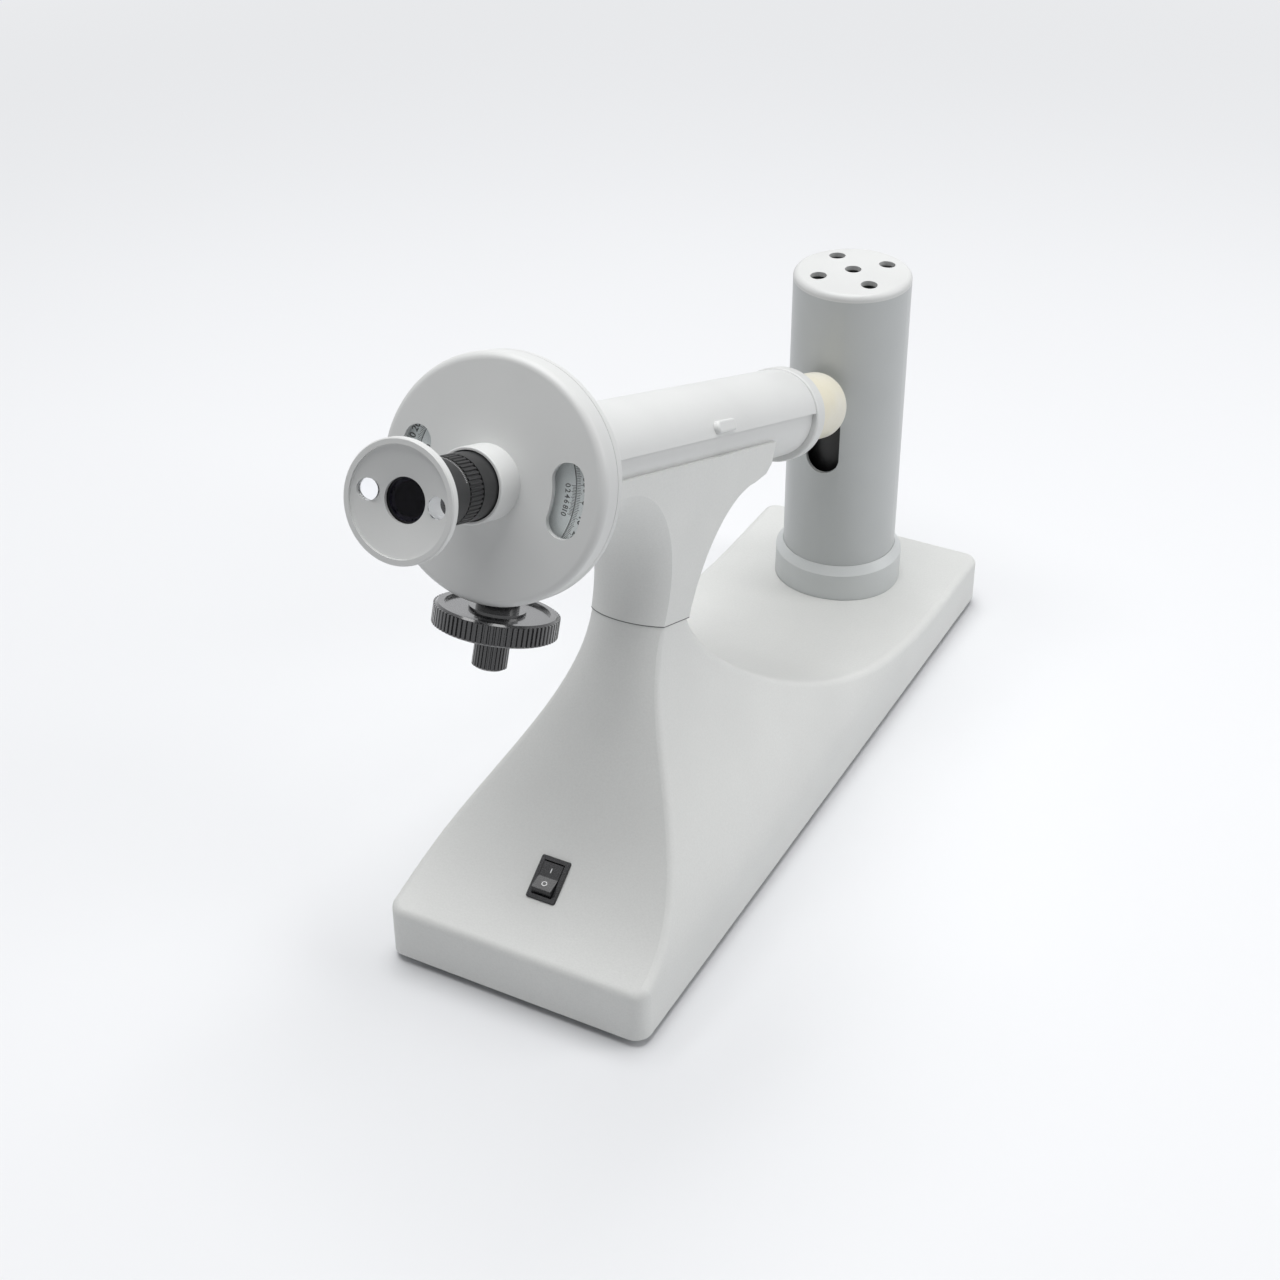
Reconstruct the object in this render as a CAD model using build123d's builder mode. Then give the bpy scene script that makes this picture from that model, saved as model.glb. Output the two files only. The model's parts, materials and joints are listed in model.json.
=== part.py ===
"""A desk polarimeter: an inclined optical head on a swept cast base, with a lamp column behind it."""

import os
from math import cos, pi, radians, sin, sqrt, tan

from build123d import *

# Driving dimensions, in millimetres and degrees.
# Base: y runs back from the front face, z up from the casting's lower edge.
base_width = 135.0
base_behind_column = 53.2
base_corner_radius = 8.0
edge_radius = 4.0
deck_height = 26.3
casting_wall = 5.0
roof_height = 22.3
foot_height = 4.5
foot_radius = 7.5
foot_inset = 15.0
plate_thickness = 1.5
plate_margin = 2.5
pocket_half_width = 32.0
pocket_front = 72.0
pocket_back = 165.0
pocket_height = 60.0

# The front of the casting rises to the neck, which is rounded in front; its flanks sweep in.
front_curve = ((0.0, deck_height), (53.8, 37.7), (89.2, 100.7), (104.6, 143.0))
neck_half_width = 19.0
flank_curve = (
    (base_width / 2, 22.0),
    (base_width / 2, 52.0),
    (neck_half_width, 95.0),
    (neck_half_width, 138.0),
)
crown_start_height = 48.0
crown_full_height = 132.0
neck_crown = 9.3
neck_back_handle = (150.0, 92.0)
deck_handle_y = 225.0
deck_flat_length = 49.0
joint_gap = 0.1

# Optical axis: it crosses the dial seam plane at (axis_y, axis_z) and falls towards the lamp.
axis_tilt = 20.0
axis_y = 12.2
axis_z = 266.2

# Head bracket, along and below the optical axis.
joint_drop = 83.0
neck_front = 128.5
neck_back = 165.0
arch_radius = 57.0
beam_top = 4.0
beam_shortfall = 48.0
beam_half_width = 22.3
bolt_middle = 146.0
bolt_spacing = 16.0

# Dial housing and cover, distances along the optical axis, radii from it.
dial_radius = 50.5
cover_depth = 7.5
cover_rim_depth = 10.8
cover_rim_radius = 47.3
cover_cone_depth = 13.8
cover_wall = 2.4
seam_gap = 0.3
boss_radius = 15.2
boss_bore = 14.0
boss_length = 28.0
flange_thickness = 3.0
drum_radius = 42.5
drum_wall = 2.5
drum_back = 20.5
bearing_seat_radius = 21.0
bearing_seat_front = 11.0
bearing_bore = 16.0
window_mid_radius = 35.15
window_width = 13.3
window_half_angle = 14.0
window_front = 11.0
window_thickness = 1.0

# Dial, vernier and the drive: a crown gear on the dial and a pinion on the handwheel shaft.
dial_front = 7.0
dial_web_front = 5.2
dial_web_back = 3.7
dial_outer_radius = 44.5
dial_inner_radius = 36.4
vernier_thickness = 1.2
vernier_inner_radius = 24.0
vernier_half_angle = 32.0
analyzer_tube_radius = 13.0
analyzer_bore = 11.5
gear_module = 0.8
crown_teeth = 75
pinion_teeth = 15
tooth_angle = 20.0
crown_inner_radius = 28.6
crown_outer_radius = 30.9
tooth_above_pitch = 0.74
tooth_below_pitch = 1.0
crown_tooth_width = 0.98
pinion_tooth_width = 1.0
shaft_back = 10.5
shaft_radius = 3.0
bush_radius = 7.2
wheel_radius = 26.0
wheel_top = 55.5
wheel_thickness = 9.5
hub_radius = 9.0
knob_radius = 7.3
knob_bottom = 81.0

# Eyepiece, distances towards the eye.
telescope_radius = 11.3
telescope_bore = 10.0
telescope_front = 62.0
focus_ring_radius = 13.5
focus_ring_front = 63.0
focus_ring_back = 19.0
knurl_front = 48.5
knurl_back = 38.0
eyepiece_bore = 8.3
eyepiece_front = 70.0
dish_radius = 23.7
dish_front = 77.4
dish_rim_width = 2.4
dish_hole_radius = 8.8
reading_lens_radius = 4.2
reading_lens_offset = 15.0

# Sample chamber.
trough_radius = 20.8
trough_wall = 1.8
trough_edge_height = 6.0
lid_radius = 23.2
lid_wall = 1.8
lid_front_angle = 14.6
lid_hinge_angle = 163.0
chamber_end = 276.0
hinge_across = 24.9
hinge_height = 4.0
hinge_front = 50.0
hinge_inset = 30.0
hinge_pin_radius = 1.0
knuckle_radius = 2.2
knuckle_length = 8.0
pull_middle = 162.0
pull_length = 20.0
pull_angle = 25.0

# Collar and nose, behind the chamber; the spigot reaches into the lamp column.
collar_radius = 24.0
collar_length = 10.0
nose_radius = 17.7
nose_bore = 15.2
nose_length = 47.0
thread_radius = 16.5
thread_length = 8.0
filter_radius = 13.0
filter_depth = 16.0
condenser_bore = 11.0
condenser_depth = 30.0
spigot_radius = 8.6
spigot_bore = 7.0
spigot_length = 15.0
spigot_reach = 3.013

# Lamp column.
column_radius = 31.6
column_wall = 2.0
column_top = 208.4
ring_radius = 35.6
ring_shoulder = 43.3
ring_top = 47.8
ledge_top = 36.0
ledge_radius = 27.0
slot_half_width = 9.6
slot_above_spigot = 10.823
slot_length = 52.3
cap_rise = 5.2
vent_radius = 4.4
vent_circle_radius = 20.0
vent_turn = 42.0
shield_radius = 24.0
shield_top = 175.0
shield_hole_radius = 8.8
socket_radius = 14.0
socket_top = 66.0
bulb_radius = 11.0
bulb_top = 172.0

# Switch on the front slope, and mains inlet in the rear wall.
switch_share = 0.24
switch_length = 21.0
switch_width = 15.0
bezel_height = 1.4
rocker_radius = 8.1
rocker_half_width = 5.0
rocker_tilt = 12.0
inlet_width = 30.0
inlet_height = 21.4
inlet_flange = 1.5
inlet_middle = 12.2

# Shank radii of the screws.
foot_screw_radius = 2.0
plate_screw_radius = 1.5
plate_screw_inset = 4.0
screw_boss_radius = 4.5
ring_screw_radius = 2.0
ring_screw_inset = 4.6
ring_screw_side = 26.8
housing_screw_radius = 1.5
cover_screw_shank = 1.4
vernier_screw_shank = 1.15
dial_screw_shank = 1.2

# Clearances.
running_fit = 0.06
slide_fit = 0.1
seat_fit = 0.05
air_gap = 0.3

# The nose, the column and the base follow the chamber; the part's origin is the middle of its
# footprint, on the table.
tilt_cos = cos(radians(axis_tilt))
tilt_sin = sin(radians(axis_tilt))
nose_front = chamber_end + collar_length
nose_end = nose_front + nose_length
filter_seat = nose_front + filter_depth
condenser_seat = nose_front + condenser_depth
spigot_end = nose_end + spigot_length
beam_tip = chamber_end - beam_shortfall
column_y = axis_y + spigot_end * tilt_cos - spigot_reach + column_radius
slot_top = axis_z - spigot_end * tilt_sin + slot_above_spigot
slot_bottom = slot_top - slot_length
base_length = column_y + base_behind_column
deck_flat_y = base_length - deck_flat_length
front_reach = dish_front * tilt_cos + dish_radius * tilt_sin - axis_y
middle_y = (base_length + inlet_flange - front_reach) / 2
across = Vector(1, 0, 0)
along = Vector(0, tilt_cos, -tilt_sin)
upward = Vector(0, tilt_sin, tilt_cos)


def ground(x, y, z):
    """A point given from the base's front lower edge, in the frame of the part."""
    return Vector(x, y - middle_y, z + foot_height)


def optic(x, n, a):
    """A point given across, above and along the optical axis."""
    return ground(0, axis_y, axis_z) + across * x + upward * n + along * a


def level(z):
    """The horizontal plane at height z, with its origin above the front face."""
    return Plane(origin=ground(0, 0, z), x_dir=(1, 0, 0), z_dir=(0, 0, 1))


def facing(a):
    """The plane square to the optical axis at distance a, seen from the eyepiece."""
    return Plane(origin=optic(0, 0, a), x_dir=across, z_dir=along * -1)


def neck_level(n, a=0.0):
    """The plane along the optical axis at height n above it; its y runs towards the lamp."""
    return Plane(origin=optic(0, n, a), x_dir=across, z_dir=upward)


side = Plane(origin=ground(0, 0, 0), x_dir=(0, 1, 0), z_dir=(1, 0, 0))
front = Plane(origin=ground(0, 0, 0), x_dir=(1, 0, 0), z_dir=(0, -1, 0))
inlet_face = Plane(origin=ground(0, base_length, inlet_middle), x_dir=(-1, 0, 0), z_dir=(0, 1, 0))
meridian = Plane(origin=optic(0, 0, 0), x_dir=along, z_dir=across)
optical_axis = Axis(optic(0, 0, 0), along)
column_face = Plane(origin=ground(0, column_y, 0), x_dir=(1, 0, 0), z_dir=(0, -1, 0))
column_axis = Axis(ground(0, column_y, 0), (0, 0, 1))
shaft_axis = Axis(optic(0, 0, shaft_back), upward)


def on_curve(curve, share):
    """The point at a share of a four-point curve."""
    rest = 1 - share
    weights = (rest**3, 3 * rest**2 * share, 3 * rest * share**2, share**3)
    return tuple(sum(w * p[i] for w, p in zip(weights, curve)) for i in (0, 1))


def slope_of(curve, share):
    """The direction of a four-point curve at a share of it, as a unit vector."""
    rest = 1 - share
    weights = (rest**2, 2 * rest * share, share**2)
    steps = [(b[0] - a[0], b[1] - a[1]) for a, b in zip(curve, curve[1:])]
    run = sum(w * s[0] for w, s in zip(weights, steps))
    rise = sum(w * s[1] for w, s in zip(weights, steps))
    length = sqrt(run**2 + rise**2)
    return run / length, rise / length


def flank_at(z):
    """The half width of the casting at height z."""
    low, high = 0.0, 1.0
    if z <= flank_curve[0][1]:
        return flank_curve[0][0]
    if z >= flank_curve[3][1]:
        return flank_curve[3][0]
    for _ in range(40):
        share = (low + high) / 2
        if on_curve(flank_curve, share)[1] < z:
            low = share
        else:
            high = share
    return on_curve(flank_curve, low)[0]


os.makedirs("parts", exist_ok=True)


def keep(piece, name):
    """Label a finished piece and write it."""
    piece.part.label = name
    export_step(piece.part, f"parts/{name}.step")


def turn(*outline, mode=Mode.ADD, about=optical_axis, plane=meridian):
    """Revolve a closed outline; by default its points are (along, radius) of the optical axis."""
    with BuildSketch(plane) as profile:
        with BuildLine():
            Polyline(*outline, close=True)
        make_face()
    revolve(profile.sketch, axis=about, mode=mode)


def turn_column(*outline, mode=Mode.ADD):
    """Revolve a closed outline of (radius, height) points about the column's axis."""
    turn(*outline, mode=mode, about=column_axis, plane=column_face)


def turn_shaft(*outline, mode=Mode.ADD):
    """Revolve a closed outline of (radius, height) points about the handwheel shaft."""
    turn(*outline, mode=mode, about=shaft_axis, plane=facing(shaft_back))


def disc(radius, start, end, bore=0.0, mode=Mode.ADD):
    """A disc or ring on the optical axis from one distance to another."""
    turn((start, bore), (end, bore), (end, radius), (start, radius), mode=mode)


def post(plane, points, radius, height, mode=Mode.ADD):
    """Round posts or holes at points of a plane, rising from it."""
    with BuildSketch(plane) as profile:
        with Locations(*points):
            Circle(radius)
    extrude(profile.sketch, amount=height, mode=mode)


def kidney(width, turned):
    """A curved slot at the radius of the dial windows, as a flat sketch."""
    with BuildSketch(Plane.XY) as slot:
        SlotArc(CenterArc((0, 0), window_mid_radius, -window_half_angle, 2 * window_half_angle), width)
    return slot.sketch.rotate(Axis.Z, turned)


def lens(radius, start, thickness, bulge, middle=(0.0, 0.0)):
    """A lens flat on its far side and domed towards the eye, on an axis beside the optical one."""
    centre = optic(middle[0], middle[1], 0)
    own_plane = Plane(origin=centre, x_dir=along, z_dir=across)
    with BuildSketch(own_plane) as profile:
        with BuildLine():
            Polyline((start, 0), (start - thickness - bulge, 0))
            dome = ThreePointArc(
                (start - thickness - bulge, 0),
                (start - thickness - bulge * 0.75, radius / 2),
                (start - thickness, radius),
            )
            Polyline(dome @ 1, (start, radius), (start, 0))
        make_face()
    revolve(profile.sketch, axis=Axis(centre, along))


def ribbed(radius, depth, count):
    """A closed outline with straight-sided ribs, as on a knurled rim."""
    step = 2 * pi / count
    rib = ((0.0, radius), (0.45, radius), (0.6, radius - depth), (0.85, radius - depth))
    turns = [((i + share) * step, r) for i in range(count) for share, r in rib]
    points = [(r * cos(turned), r * sin(turned)) for turned, r in turns]
    Polyline(*points, close=True)


# Base casting: front block with a crowned neck, trimmed to its side and front outlines.
joint_front = (
    axis_y + neck_front * tilt_cos - joint_drop * tilt_sin,
    axis_z - neck_front * tilt_sin - joint_drop * tilt_cos,
)
joint_back = (
    axis_y + neck_back * tilt_cos - joint_drop * tilt_sin,
    axis_z - neck_back * tilt_sin - joint_drop * tilt_cos,
)
back_curve = (joint_back, neck_back_handle, (deck_handle_y, deck_height), (deck_flat_y, deck_height))
foot_places = [(x, y) for x in (-1, 1) for y in (foot_inset, base_length - foot_inset)]
foot_places = [(x * (base_width / 2 - foot_inset), y) for x, y in foot_places]
plate_screw_x = base_width / 2 - casting_wall - plate_screw_inset
plate_screw_places = [(x * plate_screw_x, base_length * y) for x in (-1, 1) for y in (1 / 3, 2 / 3)]
ring_screw_front = ring_radius - ring_screw_inset
ring_screw_places = [
    (0, column_y - ring_screw_front),
    (-ring_screw_side, column_y + ring_screw_front / 2),
    (ring_screw_side, column_y + ring_screw_front / 2),
]
bolt_places = [(0, -bolt_spacing / 2), (0, bolt_spacing / 2)]
boss_height = 18.0
bolt_head_drop = 108.0
bolt_radius = 3.0
bolt_head_radius = 5.0
switch_point = on_curve(front_curve, switch_share)
switch_slope = slope_of(front_curve, switch_share)
switch_face = Plane(
    origin=ground(0, *switch_point), x_dir=(1, 0, 0), z_dir=(0, -switch_slope[1], switch_slope[0])
)
switch_body = (switch_width - 2.4, switch_length - 1.8)
inlet_body = (inlet_width - 3, inlet_height - 2)
switch_well_depth = 42.0
overshoot = 9.0
trim_height = 60.0
trim_reach = 40.0

with BuildPart() as base_casting:
    outer = base_width / 2 + 8
    for i in range(9):
        y, z = on_curve(front_curve, -0.06 + i * 0.14)
        share = min(max((z - crown_start_height) / (crown_full_height - crown_start_height), 0.0), 1.0)
        half = flank_at(z)
        sag = 0.01 + neck_crown * share
        bend = (half**2 + sag**2) / (2 * sag)
        half += 1
        sag = bend - sqrt(bend**2 - half**2)
        with BuildSketch(level(z)):
            with BuildLine():
                ThreePointArc((-half, y + sag), (0, y), (half, y + sag))
                far = base_length + overshoot
                Polyline((half, y + sag), (outer, y + sag), (outer, far))
                Polyline((outer, far), (-outer, far), (-outer, y + sag), (-half, y + sag))
            make_face()
    loft()
    with BuildSketch(level(0)):
        with Locations((0, base_length / 2)):
            Rectangle(2 * outer, base_length)
    extrude(amount=deck_height - 0.7)
    with BuildSketch(side):
        with BuildLine():
            Bezier(*back_curve)
            before_joint = (joint_front[0] - trim_reach, joint_front[1] + trim_reach * tilt_sin / tilt_cos)
            Polyline((deck_flat_y, deck_height), (base_length, deck_height), (base_length, 0), (0, 0))
            Polyline((0, 0), (0, trim_height), before_joint, joint_back)
        make_face()
    extrude(amount=outer, both=True, mode=Mode.INTERSECT)
    with BuildSketch(front):
        with BuildLine():
            right = Bezier(*flank_curve)
            left = Bezier(*[(-x, z) for x, z in flank_curve])
            Polyline(right @ 0, (base_width / 2, 0), (-base_width / 2, 0), left @ 0)
            Polyline(right @ 1, (neck_half_width, axis_z), (-neck_half_width, axis_z), left @ 1)
        make_face()
    extrude(amount=-base_length - overshoot, mode=Mode.INTERSECT)
    with BuildSketch(level(0)):
        with Locations((0, base_length / 2)):
            RectangleRounded(base_width, base_length, base_corner_radius)
    extrude(amount=axis_z, mode=Mode.INTERSECT)
    joint_middle = optic(0, -joint_drop, (neck_front + neck_back) / 2)
    joint_lines = base_casting.faces().sort_by_distance(joint_middle)[0].edges()
    end_faces = (ground(0, 0, 0).Y, ground(0, base_length, 0).Y)
    lowest = ground(0, 0, deck_height).Z - edge_radius
    high = base_casting.edges().filter_by(lambda e: min((e @ 0).Z, (e @ 1).Z) > lowest)
    swept = high.filter_by(lambda e: abs((e @ 0.5).X) > neck_half_width - 4 and abs((e @ 1 - e @ 0).Y) > 1)
    swept = swept.filter_by(lambda e: min(line.distance_to(e @ 0.5) for line in joint_lines) > 0.01)
    cross = high.filter_by(lambda e: abs((e @ 0.5).X) < 1 and e.length > base_width / 2)
    cross = cross.filter_by(lambda e: min(abs((e @ 0.5).Y - y) for y in end_faces) < 1)
    fillet(swept + cross, radius=edge_radius)
    # Hollow underside, closed by a plate in a rebate.
    inner_corner = base_corner_radius - plate_margin
    for margin, depth in ((plate_margin, plate_thickness), (casting_wall, roof_height)):
        with BuildSketch(level(0)):
            with Locations((0, base_length / 2)):
                RectangleRounded(base_width - 2 * margin, base_length - 2 * margin, inner_corner)
        extrude(amount=depth, mode=Mode.SUBTRACT)
    with BuildSketch(level(roof_height)):
        with Locations((0, (pocket_front + pocket_back) / 2)):
            RectangleRounded(2 * pocket_half_width, pocket_back - pocket_front, 6)
    extrude(amount=pocket_height - roof_height, mode=Mode.SUBTRACT)
    boss_foot = level(plate_thickness)
    post(boss_foot, foot_places + plate_screw_places, screw_boss_radius, roof_height - plate_thickness)
    post(boss_foot, foot_places, foot_screw_radius + seat_fit, boss_height, mode=Mode.SUBTRACT)
    post(boss_foot, plate_screw_places, plate_screw_radius + seat_fit, boss_height, mode=Mode.SUBTRACT)
    # Seat and screw holes of the column ring.
    with BuildSketch(level(deck_height)):
        with Locations((0, column_y)):
            Circle(ring_radius + air_gap)
    extrude(amount=ring_top - deck_height, mode=Mode.SUBTRACT)
    ring_screw_hole = ring_screw_radius + seat_fit
    post(level(roof_height - 1), ring_screw_places, ring_screw_hole, deck_height, mode=Mode.SUBTRACT)
    # Neck bolts, with wide bores for their heads from the pocket.
    joint_top = neck_level(-joint_drop + 1, bolt_middle)
    head_seat = neck_level(-bolt_head_drop, bolt_middle)
    post(joint_top, bolt_places, bolt_radius + seat_fit, joint_drop - bolt_head_drop - 15, mode=Mode.SUBTRACT)
    post(head_seat, bolt_places, bolt_head_radius + slide_fit, -70, mode=Mode.SUBTRACT)
    # Flat seat and well of the switch.
    with BuildSketch(switch_face.offset(6)):
        Rectangle(switch_body[0] + air_gap, switch_body[1] + air_gap)
    extrude(amount=-switch_well_depth, mode=Mode.SUBTRACT)
    with BuildSketch(switch_face.offset(6)):
        RectangleRounded(switch_width + air_gap, switch_length + air_gap, 1)
    extrude(amount=-6, mode=Mode.SUBTRACT)
    # Opening for the mains inlet.
    with BuildSketch(inlet_face.offset(1)):
        Rectangle(inlet_body[0] + air_gap, inlet_body[1] + air_gap)
    extrude(amount=-casting_wall - 2, mode=Mode.SUBTRACT)
keep(base_casting, "base_casting")

with BuildPart() as bottom_plate:
    with BuildSketch(level(0)):
        with Locations((0, base_length / 2)):
            rebate = 2 * (plate_margin + slide_fit)
            RectangleRounded(base_width - rebate, base_length - rebate, inner_corner - slide_fit)
    extrude(amount=plate_thickness)
    post(level(0), foot_places, foot_screw_radius + seat_fit, plate_thickness, mode=Mode.SUBTRACT)
    post(level(0), plate_screw_places, plate_screw_radius + seat_fit, plate_thickness, mode=Mode.SUBTRACT)
keep(bottom_plate, "bottom_plate")

with BuildPart() as bottom_plate_screws:
    post(level(-1.2), plate_screw_places, 2.8, 1.2)
    post(level(-0.5), plate_screw_places, plate_screw_radius, 12)
keep(bottom_plate_screws, "bottom_plate_screws")

foot_recess = 2.4
with BuildPart() as rubber_feet:
    post(level(-foot_height), foot_places, foot_radius, foot_height)
    chamfer(rubber_feet.edges().group_by(Axis.Z)[0], length=0.8)
    post(level(-foot_height), foot_places, 4.0, foot_recess, mode=Mode.SUBTRACT)
    post(level(-foot_height), foot_places, foot_screw_radius + seat_fit, foot_height, mode=Mode.SUBTRACT)
keep(rubber_feet, "rubber_feet")

with BuildPart() as foot_screws:
    post(level(foot_recess - foot_height), foot_places, 3.6, -1.6)
    post(level(foot_recess - foot_height - 0.4), foot_places, foot_screw_radius, 14)
keep(foot_screws, "foot_screws")

# Rocker switch: frame with a body in the well, and the rocker on two stub pins.
rocker_pivot_depth = 0.9
switch_depth = 14.0
rocker_pivot = switch_face.offset(-rocker_pivot_depth)
rocker_side = Plane(origin=rocker_pivot.origin, x_dir=rocker_pivot.y_dir, z_dir=(1, 0, 0))
rocker_pin_radius = 1.0
rocker_crest = 2.6
with BuildPart() as switch_housing:
    with BuildSketch(switch_face):
        RectangleRounded(switch_width, switch_length, 1)
    extrude(amount=bezel_height)
    bezel_front = switch_housing.faces().sort_by(Axis(switch_face.origin, switch_face.z_dir))[-1]
    chamfer(bezel_front.edges(), length=0.4)
    with BuildSketch(switch_face):
        Rectangle(*switch_body)
    extrude(amount=-switch_depth)
    with BuildSketch(switch_face.offset(bezel_height)):
        Rectangle(2 * (rocker_half_width + air_gap), 2 * (rocker_radius + air_gap))
    extrude(amount=-bezel_height - 9, mode=Mode.SUBTRACT)
    with BuildSketch(rocker_side):
        Circle(rocker_pin_radius + running_fit)
    extrude(amount=switch_width / 2 - 2, both=True, mode=Mode.SUBTRACT)
    for height in (-4.0, 4.0):
        with BuildSketch(switch_face.offset(-switch_depth)):
            with Locations((0, height)):
                Rectangle(4.8, 0.8)
        extrude(amount=-7)
keep(switch_housing, "switch_housing")

with BuildPart() as switch_rocker:
    with BuildSketch(rocker_side):
        Circle(rocker_radius)
        with Locations((0, -rocker_radius - 3.5)):
            Rectangle(3 * rocker_radius, 2 * rocker_radius, mode=Mode.SUBTRACT)
        with BuildLine():
            far = 2 * rocker_radius
            rise = rocker_crest + far * tan(radians(rocker_tilt))
            Polyline((0, rocker_crest), (far, rise), (far, far), (-far, far), (-far, rise), close=True)
        make_face(mode=Mode.SUBTRACT)
    extrude(amount=rocker_half_width, both=True)
    with BuildSketch(rocker_side):
        Circle(rocker_pin_radius)
    extrude(amount=switch_width / 2 - 2.2, both=True)
switch_rocker.part = switch_rocker.part.rotate(Axis(rocker_pivot.origin, (1, 0, 0)), -rocker_tilt)
keep(switch_rocker, "switch_rocker")

# Mains inlet: a flanged socket with three blades.
inlet_depth = 20.0
inlet_recess = 16.0
inlet_corner = 3.0
inlet_mouth_half_width = 12.1
inlet_mouth_half_height = 8.1
inlet_mouth_slant = 4.5
blade_size = (2.0, 4.0)
blade_front = 5.0
blade_tail = 6.0
blade_places = ((-7, -2), (0, 2), (7, -2))
with BuildPart() as mains_inlet:
    with BuildSketch(inlet_face):
        RectangleRounded(inlet_width, inlet_height, inlet_corner)
    extrude(amount=inlet_flange)
    with BuildSketch(inlet_face):
        Rectangle(*inlet_body)
    extrude(amount=-inlet_depth)
    with BuildSketch(inlet_face.offset(inlet_flange)):
        with BuildLine():
            wide, high = inlet_mouth_half_width, inlet_mouth_half_height
            slant = inlet_mouth_slant
            Polyline((-wide, high - slant), (-wide, -high), (wide, -high), (wide, high - slant))
            Polyline((wide, high - slant), (wide - slant, high), (slant - wide, high), (-wide, high - slant))
        make_face()
    extrude(amount=-inlet_recess, mode=Mode.SUBTRACT)
    with BuildSketch(inlet_face):
        with Locations(*blade_places):
            Rectangle(blade_size[0] + 2 * seat_fit, blade_size[1] + 2 * seat_fit)
    extrude(amount=-inlet_depth, mode=Mode.SUBTRACT)
keep(mains_inlet, "mains_inlet")

with BuildPart() as inlet_pins:
    with BuildSketch(inlet_face.offset(-blade_front)):
        with Locations(*blade_places):
            Rectangle(*blade_size)
    extrude(amount=blade_front - inlet_depth - blade_tail)
keep(inlet_pins, "inlet_pins")

# Ballast of the lamp: a laminated core with its winding, standing on the bottom plate.
core_width = 48.0
core_height = 40.0
core_depth = 20.0
ballast_y = 120.0
winding_height = 23.2
with BuildPart() as ballast_core:
    with BuildSketch(front.offset(core_depth / 2 - ballast_y)):
        with Locations((0, plate_thickness + core_height / 2)):
            Rectangle(core_width, core_height)
            with Locations((-12, 0), (12, 0)):
                Rectangle(8, core_height - 16, mode=Mode.SUBTRACT)
    extrude(amount=-core_depth)
keep(ballast_core, "ballast_core")

with BuildPart() as ballast_winding:
    with BuildSketch(level(plate_thickness + (core_height - winding_height) / 2)):
        with Locations((0, ballast_y)):
            RectangleRounded(31.2, core_depth + 16, 5)
            Rectangle(16.4, core_depth + 0.4, mode=Mode.SUBTRACT)
    extrude(amount=winding_height)
keep(ballast_winding, "ballast_winding")

with BuildPart() as neck_bolts:
    post(neck_level(-bolt_head_drop, bolt_middle), bolt_places, bolt_radius, bolt_head_drop - joint_drop + 12)
    with BuildSketch(neck_level(-bolt_head_drop, bolt_middle)):
        with Locations(*bolt_places):
            RegularPolygon(bolt_head_radius, 6)
    extrude(amount=-5)
keep(neck_bolts, "neck_bolts")

# Head bracket: a web on the neck, with a crowned front that curves over into the trough's beam.
crown_bend = (neck_half_width**2 + neck_crown**2) / (2 * neck_crown)
arch_middle = neck_front - arch_radius
web_offset = 14.0
crown_reach = beam_half_width + 1
crown_sag = crown_bend - sqrt(crown_bend**2 - crown_reach**2)
housing_screw_places = [(-17.0, -19.5), (17.0, -19.5)]
bracket_bottom = joint_drop - joint_gap
with BuildPart() as head_bracket:
    with BuildSketch(meridian):
        with BuildLine():
            arch = CenterArc((arch_middle, -bracket_bottom), arch_radius + web_offset, 0, 90)
            heel = Bezier(
                (neck_back, -bracket_bottom), (neck_back, -50), (neck_back + 20, -25), (neck_back + 47, -22.5)
            )
            Line(arch @ 0, heel @ 0)
            Polyline(heel @ 1, (beam_tip - 4, -19.5), (beam_tip, -15), (beam_tip, -beam_top))
            Polyline((beam_tip, -beam_top), (drum_back, -beam_top), (drum_back, (arch @ 1).Y), arch @ 1)
        make_face()
    extrude(amount=beam_half_width, both=True)
    with BuildSketch(neck_level(-bracket_bottom, neck_front)):
        with BuildLine():
            ThreePointArc((-crown_reach, crown_sag), (0, 0), (crown_reach, crown_sag))
            Polyline((crown_reach, crown_sag), (crown_reach, crown_sag + 2), (-crown_reach, crown_sag + 2))
            Line((-crown_reach, crown_sag + 2), (-crown_reach, crown_sag))
        make_face()
    revolve(axis=Axis(optic(0, -bracket_bottom, arch_middle), across), revolution_arc=90)
    with BuildSketch(facing(arch_middle)):
        with BuildLine():
            low = -bracket_bottom + arch_radius
            ThreePointArc((-crown_reach, low + crown_sag), (0, low), (crown_reach, low + crown_sag))
            Polyline((crown_reach, low + crown_sag), (crown_reach, -beam_top), (-crown_reach, -beam_top))
            Line((-crown_reach, -beam_top), (-crown_reach, low + crown_sag))
        make_face()
    extrude(amount=arch_middle - drum_back)
    with BuildSketch(facing(0)):
        with BuildLine():
            foot_x = neck_half_width
            Polyline((-foot_x, -joint_drop), (foot_x, -joint_drop), (beam_half_width, -beam_top))
            Polyline((beam_half_width, -beam_top), (-beam_half_width, -beam_top), (-foot_x, -joint_drop))
        make_face()
    extrude(amount=-beam_tip - 5, mode=Mode.INTERSECT)
    with BuildSketch(facing(drum_back)):
        with Locations((0, -beam_top - 11.5)):
            Rectangle(2 * beam_half_width - 2, 23)
    extrude(amount=-9)
    disc(trough_radius + seat_fit, 0, beam_tip + 5, mode=Mode.SUBTRACT)
    post(facing(drum_back), housing_screw_places, housing_screw_radius + seat_fit, -9, mode=Mode.SUBTRACT)
    post(neck_level(-joint_drop, bolt_middle), bolt_places, bolt_radius + seat_fit, 14, mode=Mode.SUBTRACT)
keep(head_bracket, "head_bracket")

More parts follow.
